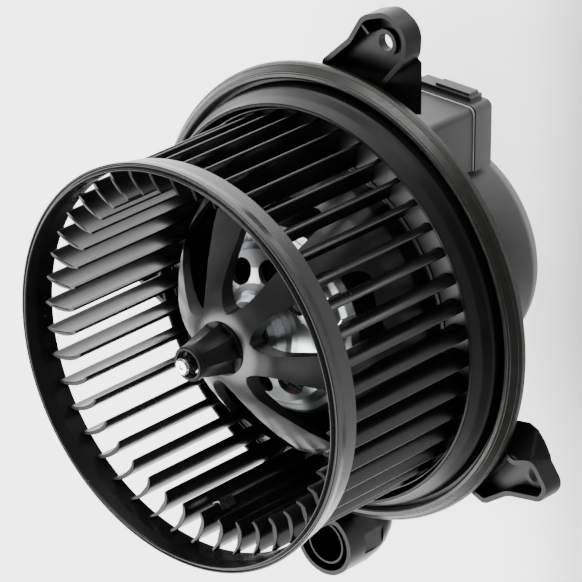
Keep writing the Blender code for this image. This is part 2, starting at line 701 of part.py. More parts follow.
def make_flange(look):
    """Mounting flange: bowl and rim, and three hollow ears with braces behind the rim."""
    flange = lathe("mount_flange", flange_outline(), look, segments=ROUND, smooth_deg=30.0)
    right = right_ear_outline()
    ears = [(top_ear_outline(), TOP_HOLE, TOP_WEB), (right, RIGHT_HOLE, RIGHT_WEB)]
    ears.append((left_ear(right), left_ear([RIGHT_HOLE])[0], [left_ear(part) for part in RIGHT_WEB]))
    pocket_floor = EAR_FLOOR_Z + EAR_WALL
    for i, (outline, hole, web) in enumerate(ears):
        shrunk = [(x, y) for x, y in inset(outline, EAR_WALL) if math.hypot(x, y) > SEAL_R - 1.0]
        bm = bmesh.new()
        add_web(bm, *web)
        tools = [
            ('UNION', prism(f"joiner_ear_{i + 1}", outline, EAR_FLOOR_Z, EAR_TOP_Z)),
            ('UNION', finish(f"joiner_ear_web_{i + 1}", bm, None)),
            ('DIFFERENCE', prism(f"cutter_ear_pocket_{i + 1}", shrunk, pocket_floor, EAR_TOP_Z + 1.0)),
            ('UNION', prism(f"joiner_ear_boss_{i + 1}", circle(hole, EAR_HOLE_R + 1.8, 16),
                            EAR_FLOOR_Z + 0.5, EAR_PAD_Z)),
            ('DIFFERENCE', prism(f"cutter_ear_hole_{i + 1}", circle(hole, EAR_HOLE_R, 16),
                                 EAR_FLOOR_Z - 5.0, EAR_TOP_Z + 5.0)),
        ]
        for operation, tool in tools:
            boolean(flange, [tool], operation)
    return flange


def make_seal(look):
    """Rubber seal that caps the flange's rim, with a flat front and a sloping skirt."""
    profile = [(80.7, 67.8), (80.9, SEAL_TOP_Z - 0.5), (81.4, SEAL_TOP_Z), (83.0, SEAL_TOP_Z)]
    profile += [(SEAL_R - 0.2, 67.0), (SEAL_R, 66.4), (SEAL_R, SEAL_BACK_Z), (RIM_R + 0.45, SEAL_BACK_Z)]
    profile += [(RIM_R + 0.45, 66.1), (82.8, 69.95), (82.5, 70.05), (81.75, 69.95), (81.3, 67.8)]
    return lathe("flange_seal", profile, look)


def cover_outline():
    """Rear cover section: a cup with a rounded flat back and a mounting rim."""
    w = COVER_WALL
    top = COVER_TOP_Z
    r = COVER_R
    outside = [(0, 0), (r - 8.5, 0), (r - 4.1, 1.2), (r - 1.2, 4.1), (r, 8.5), (r, top - 3.0)]
    outside += [(54.0, top - 3.0), (54.0, top)]
    inside = [(r - w, top), (r - w, 8.8), (r - w - 0.9, 5.4), (r - w - 3.3, 3.1), (r - w - 6.8, w), (0, w)]
    return outside + inside


def make_cover(look):
    """Moulded cup that closes the back of the motor, notched for the connector and ported for the duct."""
    cover = lathe("rear_cover", cover_outline(), look, smooth_deg=30.0)
    notch_outline = connector_outline(GAP, COVER_R - 0.3)
    notch = prism("cutter_cover_rim", notch_outline, COVER_TOP_Z - 8.0, COVER_TOP_Z + 2.0)
    half_width, half_height = (half - DUCT_WALL - 0.5 for half in DUCT_LOW_HALF)
    bm = bmesh.new()
    rings = []
    for y in (-COVER_R - 5.0, -COVER_R + 10.0):
        rings.append([(DUCT_CENTRE[0] + half_width * px, y, DUCT_LOW_Z + half_height * pz)
                      for px, pz in circle((0, 0), 1.0)])
    loops = add_rings(bm, rings)
    bm.faces.new(loops[0][::-1])
    bm.faces.new(loops[1])
    boolean(cover, [notch, finish("cutter_cover_port", bm, None)], 'DIFFERENCE')
    return cover


def make_cover_screw(name, angle, look):
    """Screw through the cover's rim into the flange."""
    head = COVER_TOP_Z - 3.0 - GAP
    profile = [(0, head - 2.7), (2.8, head - 2.4), (3.4, head - 1.5), (3.4, head), (0, head)]
    return lathe(name, profile, look, segments=16, centre=clock(49.0, angle))


def make_isolator(name, angle, look):
    """Rubber block that holds the can inside the cover."""
    outline = arc_points(COVER_R - COVER_WALL - GAP, angle - 14, angle + 14, 4)
    outline += arc_points(CAN_R + GAP, angle + 14, angle - 14, 4)
    return prism(name, outline, 24.0, 54.0, look)


def clear_of(limit, x, y):
    """The point, or the nearest one straight outwards that is this far from the shaft."""
    scale = max(1.0, limit / math.hypot(x, y))
    return x * scale, y * scale


def duct_ring(y, z, tilt, half_width, half_height, wall):
    """Oval loop of the duct, tilted about X, flattened where it would reach the rim or the cover."""
    loop = []
    limit = (RIM_CLEARANCE_R if z > FLANGE_PLATE_Z[0] else COVER_R + GAP + 0.1) + wall
    for i in range(DUCT_SIDES):
        a = 2 * math.pi * i / DUCT_SIDES
        x, v = (half_width - wall) * math.sin(a), (half_height - wall) * math.cos(a)
        px, py = clear_of(limit, DUCT_CENTRE[0] + x, y + v * math.cos(tilt))
        loop.append((px, py, z + v * math.sin(tilt)))
    return loop


def duct_end_ring(wall):
    """The duct's last loop, which follows the cover's round side."""
    half_width, half_height = DUCT_LOW_HALF
    radius = COVER_R + GAP + 0.1
    loop = []
    for i in range(DUCT_SIDES):
        a = 2 * math.pi * i / DUCT_SIDES
        x = DUCT_CENTRE[0] + (half_width - wall) * math.sin(a)
        loop.append((x, -math.sqrt(radius ** 2 - x ** 2), DUCT_LOW_Z + (half_height - wall) * math.cos(a)))
    return loop


def duct_loops(wall):
    """The duct's loops from its mouth back and in to the cover, set in by the wall."""
    y, low = DUCT_CENTRE[1], DUCT_LOW_Z
    path = [(y, DUCT_MOUTH_Z, 0.0, DUCT_R, 12.5), (y, DUCT_SEAT_Z, 0.0, DUCT_R, 12.5),
            (y + 1.5, low + 4.5, 0.45, 12.6, 11.0), (y + 7.5, low + 1.0, 0.95, 12.2, 8.5),
            (y + 13.0, low, 1.4, 12.0, 6.4), (y + 19.0, low, math.pi / 2, *DUCT_LOW_HALF)]
    return [duct_ring(*place, wall) for place in path] + [duct_end_ring(wall)]


def make_duct(look):
    """Cooling-air duct: a short snorkel beside the rim that bends in to the cover."""
    bm = bmesh.new()
    add_rings(bm, duct_loops(0.0) + duct_loops(DUCT_WALL)[::-1], closed=True)
    return finish("cooling_duct", bm, look, 40.0)


def make_duct_liner(look):
    """Smaller tube nested in the duct's mouth, flat towards the rim, seated on a round collar."""
    bm = bmesh.new()
    x, y = DUCT_CENTRE
    seat, top = DUCT_SEAT_Z + 0.8, DUCT_MOUTH_Z - 1.0
    collar_r = 12.5 - DUCT_WALL - GAP
    section = ((8.6, top), (8.6, seat + 2.0), (collar_r, seat + 1.5), (collar_r, seat))
    section += ((7.4, seat), (7.4, top))
    rings = []
    for radius, z in section:
        limit = RIM_CLEARANCE_R + DUCT_WALL + GAP + (collar_r - radius) * 0.3
        rings.append([(*clear_of(limit, x + px, y + py), z) for px, py in circle((0, 0), radius, 24)])
    add_rings(bm, rings, closed=True)
    return finish("duct_liner", bm, look)


def connector_outline(grow=0.0, inner_r=COVER_R + 2.6):
    """Connector box seen along the shaft: its foot follows the round cover, its top is flat."""
    x0, x1 = BOX_X[0] - grow, BOX_X[1] + grow
    y1 = BOX_Y_TOP + grow
    steps = 10
    foot = []
    for i in range(steps + 1):
        x = x0 + (x1 - x0) * i / steps
        foot.append((x, math.sqrt(inner_r ** 2 - x ** 2), 0))
    return rounded(foot + [(x1, y1, 3), (x0, y1, 3)], 3)


def make_connector(body_look, lid_look, metal):
    """Connector box behind the flange, its lid with a low tab, and its blade terminals."""
    top = FLANGE_PLATE_Z[0] - GAP
    outline = connector_outline()
    box = prism("connector_housing", outline, BOX_SPLIT_Z, top, body_look)
    pocket = prism("cutter_connector_pocket", inset(outline, 2.0), BOX_SPLIT_Z - 1, SOCKET_FLOOR_Z)
    boolean(box, [pocket], 'DIFFERENCE')

    lid = prism("connector_lid", connector_outline(0.8), BOX_BACK_Z, BOX_SPLIT_Z - GAP, lid_look)
    bm = bmesh.new()
    tab_x, tab_y = (BOX_X[0] + 6, BOX_X[1] - 3), (BOX_Y_TOP - 2.0, BOX_Y_TOP + 3.2)
    add_box(bm, tab_x, tab_y, (BOX_BACK_Z + 0.5, BOX_SPLIT_Z - 2.0))
    boolean(lid, [finish("joiner_lid_tab", bm, None)], 'UNION')
    bm = bmesh.new()
    add_box(bm, SOCKET_X, SOCKET_Y, (BOX_BACK_Z - 2.0, BOX_SPLIT_Z + 2.0))
    boolean(lid, [finish("cutter_socket", bm, None)], 'DIFFERENCE')

    middle = sum(SOCKET_Y) / 2
    for i in range(3):
        x = sum(SOCKET_X) / 2 + (i - 1) * 9.0
        bm = bmesh.new()
        blade_z = (BOX_SPLIT_Z + 1.0, SOCKET_FLOOR_Z - GAP)
        add_box(bm, (x - 3.1, x + 3.1), (middle - 0.4, middle + 0.4), blade_z)
        finish(f"connector_terminal_{i + 1}", bm, metal)


# ---------------------------------------------------------------- assembly
def build():
    clear_scene()
    wheel_black = material("wheel_black", (0.016, 0.016, 0.017), 0.38)
    hub_black = material("hub_black", (0.022, 0.022, 0.023), 0.42)
    housing_black = material("housing_black", (0.018, 0.018, 0.019), 0.4)
    cover_grey = material("cover_grey", (0.045, 0.047, 0.05), 0.5)
    lid_grey = material("lid_grey", (0.05, 0.05, 0.053), 0.5)
    rubber = material("rubber", (0.02, 0.02, 0.017), 0.85)
    steel = material("steel", (0.7, 0.7, 0.68), 0.25, 1.0)
    zinc = material("zinc", (0.62, 0.64, 0.64), 0.35, 1.0)
    spring_steel = material("spring_steel", (0.45, 0.45, 0.45), 0.35, 1.0)
    silicon_steel = material("silicon_steel", (0.3, 0.3, 0.31), 0.5, 1.0)
    copper = material("copper", (0.72, 0.34, 0.18), 0.35, 1.0)
    enamel = material("enamel_wire", (0.5, 0.2, 0.08), 0.4, 0.6)
    ferrite = material("ferrite", (0.06, 0.06, 0.065), 0.75)
    bronze = material("bronze", (0.5, 0.35, 0.2), 0.5, 1.0)
    carbon = material("carbon", (0.05, 0.05, 0.05), 0.6)
    phenolic = material("phenolic", (0.14, 0.08, 0.04), 0.55)
    nylon = material("nylon", (0.75, 0.73, 0.66), 0.5)

    lathe("wheel_front_ring", ring_outline(), wheel_black, smooth_deg=60.0)
    make_cage(wheel_black)
    make_hub(hub_black)
    make_lock_clip(spring_steel)
    for i, (blade, z) in enumerate(((10, 120.5), (11, 118.5), (25, 123.0))):
        make_balance_clip(f"balance_clip_{i + 1}", blade, z, spring_steel)

    make_shaft(steel)
    make_core(silicon_steel)
    make_winding("winding_front", CORE_TOP_Z + GAP, 1, enamel)
    make_winding("winding_rear", CORE_BOTTOM_Z - GAP, -1, enamel)
    make_commutator(copper)
    make_thrust_washer("thrust_washer_front", 91.0, nylon)
    make_thrust_washer("thrust_washer_rear", 22.8, nylon)

    make_can(zinc)
    make_magnet("magnet_left", 270, ferrite)
    make_magnet("magnet_right", 90, ferrite)
    make_magnet_clip("magnet_clip_top", 0, spring_steel)
    make_magnet_clip("magnet_clip_bottom", 180, spring_steel)
    make_bearing("front_bearing", 100.5, 109.0, bronze)
    make_bearing_retainer("front_bearing_retainer", 104.4, spring_steel)
    make_bearing("rear_bearing", 10.0, 18.0, bronze)
    make_end_plate(zinc)
    make_brush_plate(phenolic)
    for name, way in (("left", -1), ("right", 1)):
        make_brush("brush_" + name, way, carbon)
        make_brush_spring("brush_spring_" + name, way, spring_steel)
        make_choke_part("choke_core_" + name, way * 22.0, 0, 1.6, 7.5, ferrite)
        make_choke_part("choke_coil_" + name, way * 22.0, 1.6 + GAP, 2.9, 5.4, enamel)

    make_flange(housing_black)
    make_seal(rubber)
    for i, angle in enumerate((0, 120, 240)):
        make_isolator(f"motor_isolator_{i + 1}", angle, rubber)
    make_cover(cover_grey)
    for i, angle in enumerate((45, 135, 225, 315)):
        make_cover_screw(f"cover_screw_{i + 1}", angle, zinc)
    make_duct(housing_black)
    make_duct_liner(housing_black)
    make_connector(cover_grey, lid_grey, copper)


build()
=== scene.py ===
"""Looks of the heater blower: fine meshes, materials, light and camera round the fixed frame.

Shapes are built in millimetres about the shaft (Z), and angles run clockwise from +Y.
Each fine piece stands in for a solid of the frame or adds to one, within the frame's box to 0.01 mm.
"""

import math

import bmesh
import bpy
from mathutils import Matrix, Vector


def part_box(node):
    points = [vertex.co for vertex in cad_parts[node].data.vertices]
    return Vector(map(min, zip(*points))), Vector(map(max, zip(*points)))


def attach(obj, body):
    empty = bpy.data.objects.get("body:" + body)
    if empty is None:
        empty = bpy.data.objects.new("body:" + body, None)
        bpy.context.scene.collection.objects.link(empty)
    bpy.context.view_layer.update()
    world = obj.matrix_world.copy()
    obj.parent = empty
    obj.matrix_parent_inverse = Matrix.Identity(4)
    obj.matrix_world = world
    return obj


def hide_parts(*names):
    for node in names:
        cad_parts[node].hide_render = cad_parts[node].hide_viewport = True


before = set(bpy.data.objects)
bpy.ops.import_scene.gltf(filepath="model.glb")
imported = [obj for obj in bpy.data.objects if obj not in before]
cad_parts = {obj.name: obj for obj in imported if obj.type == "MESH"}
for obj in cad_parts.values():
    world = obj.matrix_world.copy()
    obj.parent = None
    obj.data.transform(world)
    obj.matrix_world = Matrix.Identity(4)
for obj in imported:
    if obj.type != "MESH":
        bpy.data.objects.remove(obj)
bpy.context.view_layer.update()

MM = 0.001
GAP = 0.35            # between neighbouring pieces
SEGMENTS = 224        # round a turned piece
FINE = 6              # steps in a small fillet
WAVE_LENGTH = 0.314   # of the wave texture at scale 1, in metres
EDGE_ANGLE = 38.0     # edges sharper than this are bevelled
FLAT_CORNER = 1.55    # half the corner angle above which a corner counts as straight
EDGE_SHARE = 0.49     # most of an edge that one fillet may take


# ---------------------------------------------------------------- sizes read from the frame
def top_z(node):
    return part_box(node)[1].z / MM


def low_z(node):
    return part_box(node)[0].z / MM


def outer_r(node):
    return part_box(node)[1].x / MM


RING_BEAD = 1.2
RING_TOP = top_z("wheel_front_ring") - RING_BEAD
RING_R = outer_r("wheel_front_ring")
CAGE_LOW = low_z("wheel_cage")
CAGE_R = outer_r("wheel_cage")
BLADE_SHOULDER = top_z("wheel_cage")
BOSS_TOP = top_z("wheel_hub")
SHAFT_R = 3.0
CAN_R = 35.5
CAN_WALL = 1.4
CAN_REAR = low_z("motor_can")
NOSE_TOP = top_z("motor_can")
LIP_Z = top_z("mount_flange")
EAR_FLOOR = low_z("mount_flange")
SEAL_R = outer_r("flange_seal")
SEAL_TOP = top_z("flange_seal")
SEAL_BACK = low_z("flange_seal")
COVER_R = 43.0
COVER_WALL = 2.2
COVER_TOP = top_z("rear_cover")
PLATE_LOW = COVER_TOP + GAP


# ---------------------------------------------------------------- mesh helpers
def clock(radius, angle_deg):
    """Point at a radius and a clockwise angle from +Y."""
    a = math.radians(angle_deg)
    return radius * math.sin(a), radius * math.cos(a)


def rounded(corners, steps=FINE):
    """Outline from (x, y, fillet radius) corners; a corner of two numbers stays sharp."""
    points = []
    count = len(corners)
    for i, corner in enumerate(corners):
        x, y = corner[0], corner[1]
        radius = corner[2] if len(corner) > 2 else 0
        if radius == 0:
            points.append((x, y))
            continue
        ends = []
        for other in (corners[i - 1], corners[(i + 1) % count]):
            dx, dy = other[0] - x, other[1] - y
            length = math.hypot(dx, dy)
            ends.append((dx / length, dy / length, length))
        (ax, ay, al), (bx, by, bl) = ends
        half = math.acos(max(-1.0, min(1.0, ax * bx + ay * by))) / 2
        if half > FLAT_CORNER:
            points.append((x, y))
            continue
        reach = min(radius / math.tan(half), EDGE_SHARE * al, EDGE_SHARE * bl)
        r = reach * math.tan(half)
        mx, my = ax + bx, ay + by
        scale = r / math.sin(half) / math.hypot(mx, my)
        cx, cy = x + mx * scale, y + my * scale
        start = math.atan2(y + ay * reach - cy, x + ax * reach - cx)
        stop = math.atan2(y + by * reach - cy, x + bx * reach - cx)
        sweep = (stop - start + math.pi) % (2 * math.pi) - math.pi
        for k in range(steps + 1):
            a = start + sweep * k / steps
            points.append((cx + r * math.cos(a), cy + r * math.sin(a)))
    return points


def inset(outline, distance):
    """Move an outline inwards by a distance; a sharp corner moves at most twice as far."""
    area = sum(x0 * y1 - x1 * y0 for (x0, y0), (x1, y1) in zip(outline, outline[1:] + outline[:1]))
    side = 1.0 if area > 0 else -1.0
    moved = []
    for i, (x, y) in enumerate(outline):
        px, py = outline[i - 1]
        qx, qy = outline[(i + 1) % len(outline)]
        ax, ay, bx, by = x - px, y - py, qx - x, qy - y
        la, lb = math.hypot(ax, ay), math.hypot(bx, by)
        nx, ny = -(ay / la + by / lb) * side, (ax / la + bx / lb) * side
        length = math.hypot(nx, ny)
        cosine = max(0.5, length / 2)
        moved.append((x + nx / length * distance / cosine, y + ny / length * distance / cosine))
    return moved


def circle(centre, radius, segments=48, half_y=None):
    """Circle about a centre, or an ellipse where half_y is given."""
    half_y = radius if half_y is None else half_y
    steps = [2 * math.pi * i / segments for i in range(segments)]
    return [(centre[0] + radius * math.cos(a), centre[1] + half_y * math.sin(a)) for a in steps]


def add_rings(bm, rings, closed=False):
    """Skin a list of equal-length loops; a loop of one point is a pole."""
    loops = [[bm.verts.new(p) for p in ring] for ring in rings]
    pairs = list(zip(loops, loops[1:]))
    if closed:
        pairs.append((loops[-1], loops[0]))
    for low, high in pairs:
        count = max(len(low), len(high))
        for i in range(count if count > 1 else 0):
            j = (i + 1) % count
            face = []
            for vert in (low[i % len(low)], low[j % len(low)], high[j % len(high)], high[i % len(high)]):
                if vert not in face:
                    face.append(vert)
            bm.faces.new(face)
    return loops


def add_lathe(bm, profile, segments, wobble):
    """Spin a closed (radius, z) outline about Z; wobble may change the radius with the angle."""
    rings = []
    for radius, z in profile:
        if radius == 0:
            rings.append([(0.0, 0.0, z)])
            continue
        ring = []
        for i in range(segments):
            a = 2 * math.pi * i / segments
            r = radius if wobble is None else wobble(radius, z, a)
            ring.append((r * math.sin(a), r * math.cos(a), z))
        rings.append(ring)
    add_rings(bm, rings, closed=profile[0][0] != 0)


def add_prism(bm, outline, z_low, z_high):
    """Upright prism on a closed (x, y) outline."""
    base = [bm.verts.new((x, y, z_low)) for x, y in outline]
    top = [bm.verts.new((x, y, z_high)) for x, y in outline]
    bm.faces.new(base[::-1])
    bm.faces.new(top)
    for i in range(len(base)):
        j = (i + 1) % len(base)
        bm.faces.new((base[i], base[j], top[j], top[i]))


def make(name, bm):
    """Object in metres from a mesh drawn in millimetres, with closed, outward faces."""
    bmesh.ops.scale(bm, vec=(MM, MM, MM), verts=bm.verts)
    bmesh.ops.remove_doubles(bm, verts=bm.verts, dist=1e-6)
    bmesh.ops.recalc_face_normals(bm, faces=bm.faces)
    mesh = bpy.data.meshes.new(name)
    bm.to_mesh(mesh)
    bm.free()
    obj = bpy.data.objects.new(name, mesh)
    bpy.context.scene.collection.objects.link(obj)
    return obj


def cut(target, tool, operation='DIFFERENCE'):
    """Apply one Boolean and remove its tool."""
    modifier = target.modifiers.new("join", 'BOOLEAN')
    modifier.operation = operation
    modifier.object = tool
    modifier.solver = 'EXACT'
    evaluated = target.evaluated_get(bpy.context.evaluated_depsgraph_get())
    solid = bpy.data.meshes.new_from_object(evaluated)
    target.modifiers.clear()
    target.data = solid
    bpy.data.objects.remove(tool, do_unlink=True)


def dress(obj, body, look, nodes=(), bevel=0.0, sharp=50.0):
    """Soften an object's edges, give it its material, and fix it to its body."""
    obj.data.materials.clear()
    obj.data.materials.append(look)
    obj.data.shade_smooth()
    if bevel:
        soften = obj.modifiers.new("edges", 'BEVEL')
        soften.width = bevel * MM
        soften.segments = 2
        soften.limit_method = 'ANGLE'
        soften.angle_limit = math.radians(EDGE_ANGLE)
    else:
        obj.data.set_sharp_from_angle(angle=math.radians(sharp))
    weighted = obj.modifiers.new("normals", 'WEIGHTED_NORMAL')
    weighted.keep_sharp = True
    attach(obj, body)
    if nodes:
        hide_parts(*nodes)


def lathe(name, corners, wobble=None, segments=SEGMENTS):
    """Turned object from the (radius, z, fillet radius) corners of its section."""
    bm = bmesh.new()
    add_lathe(bm, rounded(corners), segments, wobble)
    return make(name, bm)


def prism(name, outline, z_low, z_high):
    """Prism as an object of its own."""
    bm = bmesh.new()
    add_prism(bm, outline, z_low, z_high)
    return make(name, bm)


def block(name, low, high):
    """Box between its low and high corners."""
    outline = [(low[0], low[1]), (high[0], low[1]), (high[0], high[1]), (low[0], high[1])]
    return prism(name, outline, low[2], high[2])


# ---------------------------------------------------------------- materials
class Nodes:
    """A material's node tree, with short calls to add and link nodes."""

    def __init__(self, name, colour, roughness, metallic=0.0):
        self.material = bpy.data.materials.new(name)
        self.material.use_nodes = True
        self.tree = self.material.node_tree
        self.shader = self.tree.nodes["Principled BSDF"]
        self.shader.inputs["Base Color"].default_value = (*colour, 1.0)
        self.shader.inputs["Roughness"].default_value = roughness
        self.shader.inputs["Metallic"].default_value = metallic
        self.place = self.add("ShaderNodeTexCoord").outputs["Object"]

    def add(self, kind, **settings):
        node = self.tree.nodes.new(kind)
        for key, value in settings.items():
            setattr(node, key, value)
        return node

    def link(self, source, target):
        self.tree.links.new(source, target)

    def noise(self, scale, detail=3.0, place=None):
        node = self.add("ShaderNodeTexNoise")
        node.inputs["Scale"].default_value = scale
        node.inputs["Detail"].default_value = detail
        self.link(place or self.place, node.inputs["Vector"])
        return node.outputs["Fac"]

    def span(self, value, low, high, start=0.3, stop=0.7):
        """Map a value from one range to another, clamped."""
        node = self.add("ShaderNodeMapRange")
        for socket, number in zip(node.inputs[1:5], (start, stop, low, high)):
            socket.default_value = number
        self.link(value, node.inputs["Value"])
        return node.outputs["Result"]

    def maths(self, operation, first, second):
        node = self.add("ShaderNodeMath", operation=operation)
        for socket, value in zip(node.inputs, (first, second)):
            if isinstance(value, (int, float)):
                socket.default_value = value
            else:
                self.link(value, socket)
        return node.outputs["Value"]

    def blend(self, factor, first, second):
        """Mix two colours; either may be a socket."""
        node = self.add("ShaderNodeMix", data_type='RGBA')
        self.link(factor, node.inputs[0])
        for socket, value in ((node.inputs[6], first), (node.inputs[7], second)):
            if isinstance(value, tuple):
                socket.default_value = (*value, 1.0)
            else:
                self.link(value, socket)
        return node.outputs[2]

    def bump(self, height, strength, distance, below=None):
        node = self.add("ShaderNodeBump")
        node.inputs["Strength"].default_value = strength
        node.inputs["Distance"].default_value = distance
        self.link(height, node.inputs["Height"])
        if below is not None:
            self.link(below, node.inputs["Normal"])
        return node.outputs["Normal"]

    def specks(self, scale, size, share):
        """1 on a few scattered dots, 0 elsewhere."""
        cells = self.add("ShaderNodeTexVoronoi")
        cells.inputs["Scale"].default_value = scale
        self.link(self.place, cells.inputs["Vector"])
        near = self.maths('LESS_THAN', cells.outputs["Distance"], size)
        parts = self.add("ShaderNodeSeparateColor")
        self.link(cells.outputs["Color"], parts.inputs[0])
        chosen = self.maths('LESS_THAN', parts.outputs[0], share)
        return self.maths('MULTIPLY', near, chosen)

    def turned(self, fine):
        """Noise in rings about the shaft, as on a drawn or turned piece."""
        xyz = self.add("ShaderNodeSeparateXYZ")
        self.link(self.place, xyz.inputs[0])
        squares = self.maths('ADD', self.maths('MULTIPLY', xyz.outputs[0], xyz.outputs[0]),
                             self.maths('MULTIPLY', xyz.outputs[1], xyz.outputs[1]))
        rings = self.add("ShaderNodeCombineXYZ")
        self.link(self.maths('SQRT', squares, 0.0), rings.inputs[0])
        self.link(xyz.outputs[2], rings.inputs[1])
        return self.noise(fine, 4.0, rings.outputs[0])


def shade(colour, factor):
    """Colour made darker or lighter."""
    return tuple(min(1.0, c * factor) for c in colour)


def moulded(name, colour, roughness, grain=0.12, dust=0.05, dust_colour=(0.5, 0.5, 0.48), vary=0.35,
            gloss=0.5):
    """Satin moulded plastic: faint flow marks, fine grain, and a few specks of dust."""
    n = Nodes(name, colour, roughness)
    cloud = n.noise(38.0, 4.0)
    streak = n.noise(9.0, 2.0)
    base = n.blend(n.span(cloud, 0.0, 1.0), shade(colour, 1.0 - vary), shade(colour, 1.0 + vary))
    mote = n.specks(210.0, 0.045, dust)
    n.link(n.blend(mote, base, dust_colour), n.shader.inputs["Base Color"])
    matt = n.maths('ADD', n.span(cloud, -0.05, 0.07), n.span(streak, -0.04, 0.04))
    n.link(n.maths('ADD', n.maths('ADD', matt, roughness), n.maths('MULTIPLY', mote, 0.3)),
           n.shader.inputs["Roughness"])
    fine = n.bump(n.noise(2600.0, 2.0), grain, 0.0001)
    n.link(n.bump(n.noise(120.0, 2.0), 0.08, 0.0004, fine), n.shader.inputs["Normal"])
    n.shader.inputs["Specular IOR Level"].default_value = gloss
    return n.material


def rubbery(name, colour, roughness):
    """Soft black rubber with an olive bloom, pits and specks."""
    n = Nodes(name, colour, roughness)
    patch = n.noise(170.0, 5.0)
    pit = n.noise(900.0, 3.0)
    bloom = (colour[0] * 1.9, colour[1] * 1.85, colour[2] * 1.4)
    base = n.blend(n.span(patch, 0.0, 1.0, 0.4, 0.68), colour, bloom)
    mote = n.specks(420.0, 0.08, 0.2)
    n.link(n.blend(mote, base, (0.22, 0.22, 0.19)), n.shader.inputs["Base Color"])
    n.link(n.span(pit, roughness - 0.06, roughness + 0.08), n.shader.inputs["Roughness"])
    n.link(n.bump(pit, 0.3, 0.00015), n.shader.inputs["Normal"])
    return n.material


def metal(name, colour, roughness, fine=900.0, depth=0.15, spots=0.0):
    """Drawn or turned metal: rings about the shaft, a dull patch here and there."""
    n = Nodes(name, colour, roughness, 1.0)
    rings = n.turned(fine)
    cloud = n.noise(55.0, 4.0)
    base = n.blend(n.span(cloud, 0.0, 1.0), shade(colour, 0.82), shade(colour, 1.12))
    if spots:
        base = n.blend(n.specks(260.0, 0.2, spots), base, shade(colour, 0.45))
    n.link(base, n.shader.inputs["Base Color"])
    dull = n.span(cloud, roughness - 0.02, roughness + 0.04)
    n.link(n.maths('ADD', n.span(rings, -0.02, 0.02), dull), n.shader.inputs["Roughness"])
    n.link(n.bump(rings, depth, 0.0002), n.shader.inputs["Normal"])
    return n.material


def striped(name, colour, roughness, metallic, pitch, direction='Z', dark=0.35):
    """Stacked layers or wound wire: even bands along one axis."""
    n = Nodes(name, colour, roughness, metallic)
    wave = n.add("ShaderNodeTexWave", bands_direction=direction, wave_profile='SIN')
    wave.inputs["Scale"].default_value = WAVE_LENGTH / (pitch * MM)
    wave.inputs["Distortion"].default_value = 0.6
    n.link(n.place, wave.inputs["Vector"])
    band = wave.outputs["Fac"]
    base = n.blend(n.span(band, 0.0, 1.0, 0.0, 1.0), shade(colour, dark), colour)
    n.link(base, n.shader.inputs["Base Color"])
    n.link(n.span(n.noise(90.0), roughness - 0.08, roughness + 0.1), n.shader.inputs["Roughness"])
    n.link(n.bump(band, 0.5, 0.0002), n.shader.inputs["Normal"])
    return n.material


WHEEL = moulded("wheel_satin", (0.0065, 0.0065, 0.0068), 0.3, dust=0.1, gloss=0.42)
# The hub is a lighter, glossier copy of the wheel's plastic: a painted sheen on the dome.
HUB = moulded("hub_satin_painted_sheen", (0.009, 0.009, 0.009), 0.33, dust=0.05, gloss=0.75)
# The boss is a darker, less glossy copy of the same plastic: painted shade, so it reads near black as if in
# shadow.
BOSS = moulded("boss_painted_shade", (0.003, 0.003, 0.003), 0.42, dust=0.02, gloss=0.16)
HOUSING = moulded("housing_satin", (0.005, 0.005, 0.0052), 0.3, dust=0.1, gloss=0.2)
COVER = moulded("cover_grain", (0.009, 0.0092, 0.0095), 0.42, grain=0.3, dust=0.02)
LID = moulded("lid_grain", (0.014, 0.0142, 0.0145), 0.42, grain=0.3, dust=0.02)
RUBBER = rubbery("seal_rubber", (0.0055, 0.0055, 0.0045), 0.38)
PAD_RUBBER = rubbery("pad_rubber", (0.012, 0.012, 0.012), 0.8)
ZINC = metal("zinc_drawn", (0.66, 0.69, 0.7), 0.28, fine=260.0, depth=0.01, spots=0.02)
CLIP = metal("clip_bright", (0.85, 0.85, 0.84), 0.45, fine=300.0, depth=0.02)
GASKET = moulded("gasket_silicone", (0.75, 0.75, 0.73), 0.5, dust=0.0, vary=0.05)
STEEL = metal("steel_ground", (0.74, 0.73, 0.71), 0.2, fine=1500.0, depth=0.1)
SPRING = metal("spring_steel_oiled", (0.55, 0.55, 0.54), 0.28, fine=1200.0)
BRONZE = metal("bronze_sintered", (0.5, 0.34, 0.18), 0.45, fine=2200.0, depth=0.3)
COPPER = metal("copper_bare", (0.75, 0.37, 0.2), 0.3, fine=1800.0)
LAMINATION = striped("steel_laminations", (0.36, 0.36, 0.37), 0.45, 1.0, 5.0)
WIRE = striped("wire_enamelled", (0.16, 0.05, 0.018), 0.32, 0.3, 4.0, 'DIAGONAL', 0.3)
FERRITE = moulded("ferrite_sintered", (0.045, 0.045, 0.048), 0.7, grain=0.5, dust=0.2, vary=0.2)
CARBON = moulded("carbon_pressed", (0.035, 0.035, 0.036), 0.5, grain=0.6, dust=0.4,
                 dust_colour=(0.3, 0.16, 0.09))
PHENOLIC = moulded("phenolic_moulded", (0.12, 0.06, 0.03), 0.45, grain=0.3, dust=0.1)
NYLON = moulded("nylon_moulded", (0.7, 0.68, 0.6), 0.4, dust=0.0, vary=0.06)


